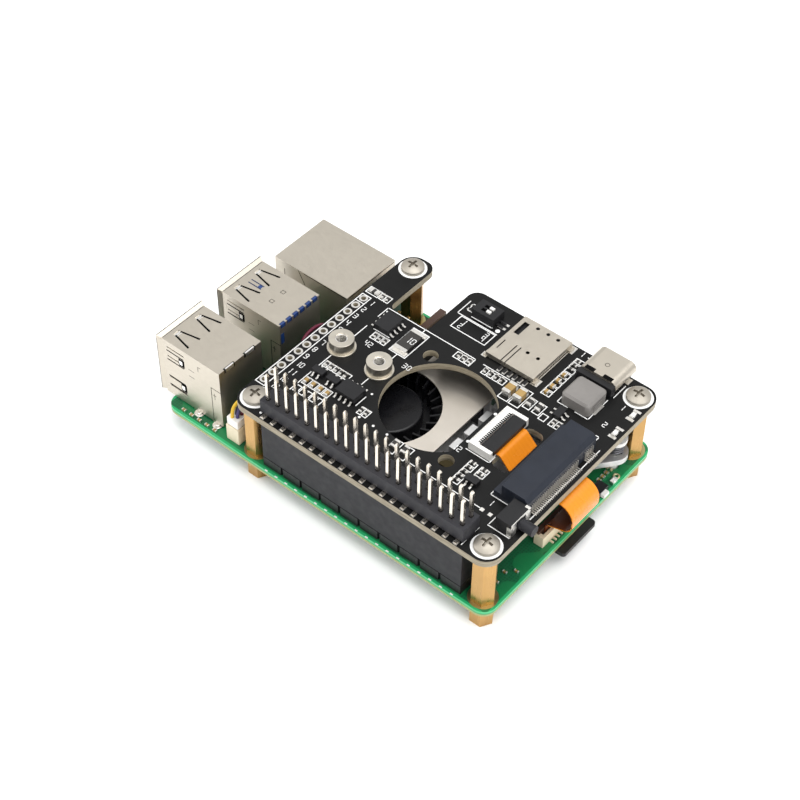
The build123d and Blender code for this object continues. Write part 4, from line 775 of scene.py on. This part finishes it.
def add_upper_parts():
    """The upper board's chips, capacitors and resistors, each in the place the CAD gives it."""
    chips, tin, tan, dark, lamps = (Pieces() for _ in range(5))
    boxes = island_boxes("upper_board_parts")
    chip_base = UPPER_TOP + 0.05
    chip_middles = [(low + high) / 2 for low, high in boxes if low.z > chip_base]
    for low, high in boxes:
        height = high.z - UPPER_TOP
        middle = (low + high) / 2
        if low.z > chip_base:
            chips.block(low, high)
        elif height < 0.35:
            add_leg(tin, low, high, min(chip_middles, key=lambda m: (m - middle).length))
        elif high.y - low.y > 5:
            add_two_ended(tin, dark, low, high, 0.13)
        elif middle.x < -28 and middle.y > 12:
            add_two_ended(tin, dark, low, high, 0.35)
        elif height > 1.2 or 0.55 < height < 0.65 or (height > 0.75 and middle.y > 13):
            add_two_ended(tin, tan, low, high, 0.24)
        elif 0.65 < height < 0.75:
            add_two_ended(tin, lamps, low, high, 0.28)
        else:
            add_two_ended(tin, dark, low, high, 0.27)
    for piece in finish_parts((
        ("upper_chips", chips, "chip_parts", "black"), ("part_ends", tin, "tinned_pin", "tin"),
        ("tan_parts", tan, "chip_parts", "tan"), ("dark_parts", dark, "chip_parts", "dark_part"),
        ("lamp_parts", lamps, "white_moulding", "white"))):
        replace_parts(piece, "upper_board_parts")


def add_main_parts():
    """The main board's small parts, made in the same way."""
    tin, tan, pins, lamps = (Pieces() for _ in range(4))
    for low, high in island_boxes("main_board_parts"):
        if high.z - low.z > 3:
            pins.block(low, high)
        elif high.z - low.z < 0.75 and low.x > 30.5:
            add_two_ended(tin, lamps, low, high, 0.25)
        else:
            add_two_ended(tin, tan, low, high, 0.26)
    for piece in finish_parts((
        ("main_part_ends", tin, "tinned_pin", "tin"), ("main_tan_parts", tan, "chip_parts", "tan"),
        ("supply_pins", pins, "gold_contact", "gold"),
        ("main_lamp", lamps, "white_moulding", "white"))):
        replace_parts(piece, "main_board_parts")


# ---------------------------------------------------------------- details on the ports
PORT_LIP = 1.0                   # how far the upper port's lip stands out in front of the shell
LIP_SPREAD = 0.55


def usb_box(name):
    """A USB shell's own box, without its flared lip: x0, x1, y0, y1, top."""
    low, high = box_mm(f"{name}_shell")
    return (low.x + PORT_LIP, high.x, low.y + LIP_SPREAD, high.y - LIP_SPREAD,
            high.z - LIP_SPREAD)


def slanted(x, y, angle, length, width):
    """A narrow rectangle turned about its middle."""
    c, s = math.cos(math.radians(angle)), math.sin(math.radians(angle))
    a, b = length / 2, width / 2
    return [(x + u * c - v * s, y + u * s + v * c)
            for u, v in ((-a, -b), (a, -b), (a, b), (-a, b))]


def add_usb_details():
    """Slots, spring tongue tips with a painted highlight, and seams on the two USB shells."""
    gaps, tips = Pieces(), Pieces()
    for name in ("usb2", "usb3"):
        x0, x1, y0, y1, top = usb_box(name)
        middle = (y0 + y1) / 2
        for side in (-1, 1):
            y = middle + side * (y1 - y0) / 4
            for hand in (-1, 1):
                outline = slanted(x0 + 4.1, y + hand * 1.2, hand * 12, 4.7, 0.42)
                gaps.prism(outline, top - 0.2, top + PROUD)
            # The bent tongue tip, in lighter metal as a painted highlight.
            tips.prism([(x0 + 2.3, top + 0.03), (x0 + 0.95, top - 0.25), (x0 + 1.0, top - 0.4),
                        (x0 + 2.3, top - 0.2)], y - 0.72, y + 0.72, place=along_y)
        add_usb_side(gaps, tips, x0, x1, y0, top)
        if name == "usb2":
            for a, b in ((middle - 4.6, middle - 1.6), (middle + 1.2, middle + 4.4)):
                gaps.box(x1 - 0.45, x1 + PROUD, a, b, top - 1.0, top + PROUD)
                # A painted highlight on each rear tab.
                tips.box(x1 - 0.3, x1 + 0.03, a + 0.4, b - 0.3, top - 0.9, top + 0.03)
    gaps.finish("shell_gaps", "gap", "black_moulding")
    tips.finish("shell_tongues", "painted_highlight_tip", "nickel_shell")
    add_scallops()


def add_usb_lips():
    """The flared lips at the two sides of each USB shell's mouth, and their dark cut edges."""
    lips, rims = Pieces(), Pieces()
    for name in ("usb2", "usb3"):
        x0, x1, y0, y1, top = usb_box(name)
        front = x0 - PORT_LIP
        levels = (MAIN_TOP + 1.0, top - 0.3)
        for y, out in ((y0, -1), (y1, 1)):
            tip = y + out * (LIP_SPREAD - 0.02)
            lips.prism([(x0 + 0.1, y), (front + 0.05, tip), (front + 0.05, tip - out * 0.15),
                        (x0 + 0.1, y - out * 0.15)], *levels)
            edge = sorted((tip, tip - out * 0.2))
            rims.box(front + 0.01, front + 0.13, *edge, *levels)
        rims.box(x0 + 0.1, x0 + 0.24, y0 + 0.3, y1 - 0.3, top - 0.05, top + 0.012)
        rims.box(front + 0.01, front + 0.15, y0 - 0.4, y1 + 0.4,
                 top + 0.36, top + LIP_SPREAD - 0.01)
    lips.finish("port_lips", "shell", "nickel_shell")
    rims.finish("port_lip_edges", "spring", "nickel_shell")


def add_usb_side(gaps, tips, x0, x1, y0, top):
    """Side springs with painted shade and a painted highlight on their dimples, a seam and a
    pressed mark on the side that faces the pin header.
    """
    face = (y0 - PROUD, y0 + 0.2)
    for z in (MAIN_TOP + 5.2, MAIN_TOP + 12.6):
        gaps.box(x0 + 1.2, x0 + 6.0, *face, z + 0.55, z + 0.85)
        gaps.box(x0 + 1.2, x0 + 6.0, *face, z - 2.0, z - 1.7)
        # Painted shade round each spring's dimple, and a painted highlight on it.
        gaps.box(x0 + 4.6, x0 + 6.2, *face, z - 1.6, z + 0.45)
        tips.box(x0 + 4.8, x0 + 5.6, y0 - 0.03, y0 + 0.1, z - 1.2, z - 0.1)
    seam = 0.13
    corner_x, corner_z = x1 - 2.7, top - 5.6
    gaps.box(corner_x, corner_x + seam, *face, MAIN_TOP + 0.8, corner_z)
    gaps.box(corner_x, x1, *face, corner_z, corner_z + seam)
    gaps.box(corner_x + 0.9, corner_x + 1.0, *face, corner_z - 3.0, corner_z - 1.2)
    gaps.box(corner_x + 0.4, corner_x + 1.4, *face, corner_z - 1.9, corner_z - 1.8)
    for z in (top - 6.3, top - 4.4):
        gaps.box(x0 + 7.3, x0 + 8.9, *face, z, z + 0.08)
    gaps.box(x0 + 10.1, x0 + 10.2, *face, top - 3.3, top - 1.9)
    gaps.box(x0 + 10.1, x0 + 10.9, *face, top - 2.0, top - 1.9)


def add_scallops():
    """The blue moulding that shows between the folded tabs at the back of the USB 3 shell."""
    x0, x1, y0, y1, top = usb_box("usb3")
    blue, dark, dimples = Pieces(), Pieces(), Pieces()
    count = 6
    pitch = (y1 - y0 - 0.6) / count
    for i in range(count):
        y = y0 + 0.5 + pitch * i
        blue.box(x1 - 0.45, x1 + 0.03, y + 0.1, y + pitch * 0.58, top - 0.75, top + 0.03)
        dark.box(x1 - 0.6, x1 + PROUD, y - 0.08, y + pitch * 0.7, top - 0.95, top + PROUD)
    blue.box(x1 - 0.2, x1 + 0.03, y0 + 0.35, y0 + 1.3, top - 5.4, top - 2.6)
    middle = (y0 + y1) / 2
    for hand in (-1, 1):
        y = middle + hand * 0.5
        dark.box(x0 + 2.2, x0 + 5.8, y - 0.13, y + 0.13, top - 0.2, top + PROUD)
    blue.box(x0 + 4.7, x0 + 5.6, middle - 0.36, middle + 0.36, top - 0.2, top + 0.012)
    for y in (middle + 1.9, middle - 1.6):
        dimples.frame(x0 + 9.4, x0 + 10.4, y - 0.45, y + 0.45, 0.1, top, top + 0.01)
    blue.finish("usb3_back", "blue", "blue_moulding")
    dark.finish("usb3_gaps", "blue_gap", "blue_moulding")
    dimples.finish("usb3_marks", "gap", "black_moulding")


def add_ethernet_details():
    """The folded seams of the network port's shell."""
    low, high = box_mm("ethernet_shell")
    gaps = Pieces()
    face = (low.y - PROUD, low.y + 0.1)
    outline = [(low.x + 6.6, high.z - 0.2), (low.x + 6.8, high.z - 0.2),
               (low.x + 8.6, high.z - 3.4), (low.x + 8.4, high.z - 3.4)]
    gaps.prism(outline, *face, place=along_y)
    gaps.box(low.x + 8.4, high.x - 0.2, *face, high.z - 0.34, high.z - 0.2)
    gaps.box(low.x + 2.6, low.x + 2.75, *face, high.z - 9.5, high.z - 2.0)
    gaps.box(high.x - 0.1, high.x + PROUD, low.y + 0.3, high.y - 0.3, high.z - 0.45,
             high.z - 0.3)
    gaps.finish("network_seams", "gap", "black_moulding")


def add_shell_tabs():
    """Solder blobs where the USB 2 shell's legs go into the main board."""
    tin = Pieces()
    step = MAIN_TOP + 0.25
    for x, y in ((-45.0, -25.4), (-39.8, -25.4), (-45.0, -12.9), (-39.8, -12.9)):
        tin.prism(circle(x, y, 1.1, 14), MAIN_TOP, step)
        tin.prism(circle(x, y, 0.7, 14), step, MAIN_TOP + 0.6)
    tin.finish("shell_solder", "tin", "tinned_pin", bevel=0.12)


# ---------------------------------------------------------------- details on connectors
def add_ribbon_details():
    """The upper ribbon connector's contacts, and the dark slots behind its flap."""
    low, high = box_mm("upper_ribbon_connector")
    flap_x = box_mm("upper_ribbon_latch")[0].x
    contacts, slots = Pieces(), Pieces()
    count = 20
    flat = (high.z - 0.1, high.z + 0.01)
    for i in range(count):
        y = low.y + 1.4 + (high.y - low.y - 2.8) * i / (count - 1)
        contacts.box(low.x - 0.01, low.x + 0.5, y - 0.12, y + 0.12, *flat)
        slots.box(flap_x - 0.75, flap_x - 0.06, y - 0.17, y + 0.17, *flat)
    contacts.finish("ribbon_contact_slots", "leg", "tinned_pin")
    slots.finish("ribbon_latch_slots", "gap", "black_moulding")


def add_power_details():
    """Folded corners and a pressed dimple on the upper power inlet."""
    low, high = box_mm("upper_power_shell")
    gaps = Pieces()
    middle = (low.x + high.x) / 2
    flat = (high.z - 0.1, high.z + 0.01)
    gaps.box(low.x + 1.2, low.x + 3.4, low.y - 0.05, low.y + 0.9, *flat)
    gaps.box(high.x - 3.4, high.x - 1.2, low.y - 0.05, low.y + 0.9, *flat)
    gaps.ring(middle, low.y + 3.3, 0.42, 0.52, *flat, 16)
    gaps.finish("power_inlet_gaps", "gap", "black_moulding")


def add_reset_plate():
    """The reset switch's folded metal face."""
    low, high = box_mm("reset_switch")
    button = sum(box_mm("reset_button"), Vector()) / 2
    plate = Pieces()
    x = high.x + 0.15
    plate.box(high.x, x, low.y, button.y - 1.4, low.z, high.z)
    plate.box(high.x, x, button.y + 1.4, high.y, low.z, high.z)
    plate.box(high.x, x, button.y - 1.4, button.y + 1.4, button.z + 1.38, high.z)
    plate.box(high.x - 0.9, x, high.y - 0.5, high.y + 0.12, high.z - 0.3, high.z + 0.06)
    plate.box(high.x - 0.9, x, low.y - 0.12, low.y + 0.3, low.z, high.z - 0.9)
    plate.finish("reset_plate", "tin", "nickel_shell")


def add_module_nuts():
    """The two module nuts, with a flange, a wide mouth and the turns of their threads."""
    nuts, threads = Pieces(), Pieces()
    for low, high in island_boxes("module_nuts"):
        x, y = ((low + high) / 2).xy
        nuts.ring(x, y, 1.3, (high.x - low.x) / 2, low.z, low.z + 0.45, 40)
        nuts.ring(x, y, 1.3, 2.65, low.z + 0.45, high.z, 40)
        for turn in range(6):
            z = high.z - 0.25 - turn * 0.42
            threads.ring(x, y, 1.05, 1.34, z - 0.07, z + 0.07, 24)
    for name, made, material in (("nuts", nuts, "nut"), ("nut_threads", threads, "tin")):
        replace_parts(made.finish(name, material, "bright_screw", bevel=0.05), "module_nuts")


def add_hub_mark():
    """The small round mark that the mould's gate leaves on the fan's hub."""
    hub_top = box_mm("fan_impeller")[1].z - 0.15
    mark = Pieces()
    mark.ring(-11.0, -4.2, 0.55, 0.7, hub_top - 0.1, hub_top + 0.04, 20)
    mark.prism(circle(-11.0, -4.2, 0.3, 14), hub_top - 0.1, hub_top + 0.03)
    mark.finish("hub_mark", "fan_black", "black_moulding", body="impeller")


def add_header_seam():
    """The joint between the stacking socket and the lower header's base."""
    low, high = box_mm("lower_header_base")
    gaps = Pieces()
    for y in (low.y, high.y):
        gaps.box(low.x, high.x, y - PROUD, y + PROUD, high.z - 0.08, high.z + 0.1)
    gaps.finish("header_seam", "gap", "black_moulding")


def add_sim_details():
    """Solder under the SIM socket's contact legs."""
    tin = Pieces()
    for x in (3.2, 4.5, 5.8, 7.0, 8.4, 9.6):
        tin.box(x - 0.35, x + 0.35, 12.2, 13.6, UPPER_TOP, PAD_Z)
    tin.finish("sim_pads", "tin", "tinned_pin")


LEAD_COLOURS = ("yellow_wire", "blue_wire", "black_wire", "red_wire")
LEAD_R = 0.38


def add_fan_leads():
    """The fan's four leads: out of the plug, under the upper board and on to the blower."""
    low, high = box_mm("fan_plug")
    fan = sum(box_mm("fan_impeller"), Vector()) / 2
    wall_low, wall_high = box_mm("blower_housing")
    wall = (wall_high.y - wall_low.y) / 2
    for number, colour in enumerate(LEAD_COLOURS):
        y = low.y + 0.6 + 0.6 * number
        x = (low.x + high.x) / 2 + (0.45 if number % 2 else -0.45)
        angle = math.radians(162 - 4.4 * number)
        inward = 3 - number
        route = [
            (x, y, high.z - 0.3), (x, y, high.z + 1.2 + 0.4 * inward),
            (x + 0.5, y + 2.0, high.z + 2.4 + 0.5 * inward),
            (x + 0.9, -17.5 + number, 15.8 + 0.8 * inward),
            (-31.6 + 0.2 * inward, -11.0 + number, 17.4 + 0.5 * inward),
            (-34.9 + 0.85 * inward, -4.5, 18.9 - 0.2 * inward),
            (-35.4 + 0.85 * inward, 2.0, 18.7 - 0.2 * inward),
            (-31.5 + 0.7 * inward, 5.5 - 0.7 * inward, 16.2),
            (fan.x + wall * math.cos(angle), fan.y + wall * math.sin(angle), 13.4 - number * 0.2),
        ]
        add_lead(f"fan_lead_{number + 1}", route, colour)


def add_lead(name, route, colour):
    """One round lead along a smooth curve."""
    data = bpy.data.curves.new(name, "CURVE")
    data.dimensions = "3D"
    spline = data.splines.new("NURBS")
    spline.points.add(len(route) - 1)
    for point, place in zip(spline.points, route):
        point.co = (*Vector(place) * MM, 1)
    spline.order_u = 3
    spline.use_endpoint_u = True
    spline.resolution_u = 12
    data.bevel_depth = LEAD_R * MM
    data.bevel_resolution = 4
    data.use_fill_caps = True
    data.materials.append(MATERIALS[colour])
    lead = bpy.data.objects.new(name, data)
    bpy.context.scene.collection.objects.link(lead)
    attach(lead, ROOT)
    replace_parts(lead, "fan_wires")


def add_main_pads():
    """Gold rings round the standoffs, small metal parts and print on the main board."""
    gold, white, clips = Pieces(), Pieces(), Pieces()
    for middle in island_middles("board_standoffs"):
        gold.ring(middle.x, middle.y, 1.6, 3.05, MAIN_TOP, MAIN_TOP + RING_T)
    gold.finish("mounting_pads", "ring_gold", "gold_contact")
    flat = (MAIN_TOP, MAIN_TOP + PRINT_T)
    for y in (-20.5, -2.6, 15.3):
        white.frame(-49.0, -45.0, y, y + 1.6, 0.18, *flat)
    clips.ring(31.2, 16.4, 0.4, 0.75, MAIN_TOP, MAIN_TOP + 0.4, 20)
    for x, y in ((28.2, 16.8), (29.2, 16.8), (29.7, 20.1)):
        clips.box(x, x + 0.45, y, y + 0.8, MAIN_TOP, MAIN_TOP + 0.35)
    clips.finish("pad_rings", "cream_gold", "gold_contact", bevel=0.08)
    low = box_mm("lower_header_base")[0]
    for i in range(19):
        x = low.x + 1.2 + i * 2.66
        white.box(x, x + 0.7, low.y - 1.05, low.y - 0.75, *flat)
    white.finish("main_print", "print", "white_moulding")


UNDER_PLACES = (                 # groups of small parts under the main board: x, y, across, down
    (-20.0, -8.0, 6, 4), (-19.0, 9.6, 5, 3), (4.0, 9.5, 4, 3), (5.5, -10.5, 5, 3),
    (-50.0, -1.5, 2, 4), (14.0, 12.0, 2, 4), (-30.5, -9.0, 2, 4),
)
UNDER_STEP_X = 2.2               # between the parts of a group
UNDER_STEP_Y = 1.5
UNDER_CHIPS = ((-3.0, -12.0, 4.0, 4.0), (9.0, 1.2, 3.2, 5.0), (-31.5, 12.5, 4.6, 3.4))


def add_under_solder():
    """Solder at every pin that comes through the main board."""
    solder = Pieces()

    def blob(x, y, wide, narrow, height):
        solder.cone(x, y, wide, narrow, MAIN_BOTTOM, MAIN_BOTTOM - height)

    for middle in island_middles("lower_header_pins"):
        blob(middle.x, middle.y, 0.82, 0.4, 0.8)
    for node in ("usb2_shell", "usb3_shell"):
        low, high = box_mm(node)
        for i in range(4):
            for x in (high.x - 1.6, high.x - 4.1):
                blob(x, low.y + 3.25 + i * 2.4, 0.75, 0.3, 0.7)
        for y in (low.y + 0.5, high.y - 0.5):
            for x in (high.x - 2.8, high.x - 8.9):
                blob(x, y, 1.15, 0.5, 0.8)
    low, high = box_mm("ethernet_shell")
    for i in range(8):
        x = high.x - 3.2 - (i % 2) * PIN_PITCH
        blob(x, low.y + 3.4 + i * PIN_PITCH / 2, 0.7, 0.3, 0.7)
    for y in (low.y + 0.6, high.y - 0.6):
        blob(high.x - 9.6, y, 1.2, 0.5, 0.8)
    solder.finish("under_solder", "tin", "tinned_pin")


def under(height):
    """The top and bottom of something that hangs this far below the main board."""
    return MAIN_BOTTOM - height, MAIN_BOTTOM


def add_under_parts():
    """Groups of small parts on the main board's underside."""
    bodies, ends = Pieces(), Pieces()
    for x0, y0, across, down in UNDER_PLACES:
        for i in range(across * down):
            x, y = x0 + i // down * UNDER_STEP_X, y0 + i % down * UNDER_STEP_Y
            bodies.box(x - 0.28, x + 0.28, y - 0.25, y + 0.25, *under(0.35))
            for end in (x - 0.4, x + 0.4):
                ends.box(end - 0.13, end + 0.13, y - 0.27, y + 0.27, *under(0.38))
    bodies.finish("under_parts", "tan", "chip_parts", bevel=0.03)
    ends.finish("under_part_ends", "tin", "tinned_pin", bevel=0.03)


def add_under_chips():
    """Three small chips on the main board's underside, with their legs."""
    chips, legs = Pieces(), Pieces()
    leg_pitch = 0.65
    for x, y, width, depth in UNDER_CHIPS:
        chips.box(x, x + width, y, y + depth, *under(0.85))
        for i in range(int(width / leg_pitch)):
            left = x + 0.3 + i * leg_pitch
            for edge in (y - 0.4, y + depth - 0.1):
                legs.box(left, left + 0.25, edge, edge + 0.5, *under(0.2))
    chips.finish("under_chips", "black", "black_moulding", bevel=0.08)
    legs.finish("under_chip_legs", "leg", "tinned_pin")


def add_under_pads():
    """Test pads and the feet's gold rings on the main board's underside."""
    gold = Pieces()
    for i in range(14):
        x, y = -20.0 + (i % 7) * 3.7, -18.3 - (i // 7) * 1.9
        gold.prism(circle(x, y, 0.6, 14), *under(RING_T))
        gold.prism(circle(x + 1.0, y + 38.5, 0.6, 14), *under(RING_T))
    for middle in island_middles("board_feet"):
        gold.ring(middle.x, middle.y, 1.6, 3.05, *under(RING_T))
    gold.finish("under_pads", "ring_gold", "gold_contact")


def add_under_print():
    """A printed frame round each group of small parts on the underside."""
    white = Pieces()
    for x0, y0, across, down in UNDER_PLACES:
        x1 = x0 + (across - 1) * UNDER_STEP_X
        y1 = y0 + (down - 1) * UNDER_STEP_Y
        white.frame(x0 - 0.9, x1 + 0.9, y0 - 0.7, y1 + 0.7, 0.12, *under(PRINT_T))
    white.finish("under_print", "print", "white_moulding")


SOFTENED = {                     # how far CAD nodes' sharp edges are rounded, mm
    0.12: "upper_header_base stacking_socket power_coil push_pins",
    0.1: "fan_socket fan_plug memory_card processor upper_screws board_standoffs board_feet",
    0.08: "lower_header_base module_slot reset_switch",
    0.06: "upper_ribbon_connector lower_ribbon_connector upper_board main_board",
}


def soften_nodes():
    """Round the sharp edges of the CAD nodes that show them."""
    for width, names in SOFTENED.items():
        for name in names.split():
            soften(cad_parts[name], width)


# ---------------------------------------------------------------- build everything
add_camera()
add_studio()
MATERIALS = build_materials()
dress_nodes(MATERIALS)
soften_nodes()
add_print()
add_pads()
add_upper_parts()
add_main_parts()
add_usb_details()
add_usb_lips()
add_ethernet_details()
add_shell_tabs()
add_ribbon_details()
add_power_details()
add_reset_plate()
add_module_nuts()
add_hub_mark()
add_header_seam()
add_sim_details()
add_fan_leads()
add_main_pads()
add_under_solder()
add_under_parts()
add_under_chips()
add_under_pads()
add_under_print()
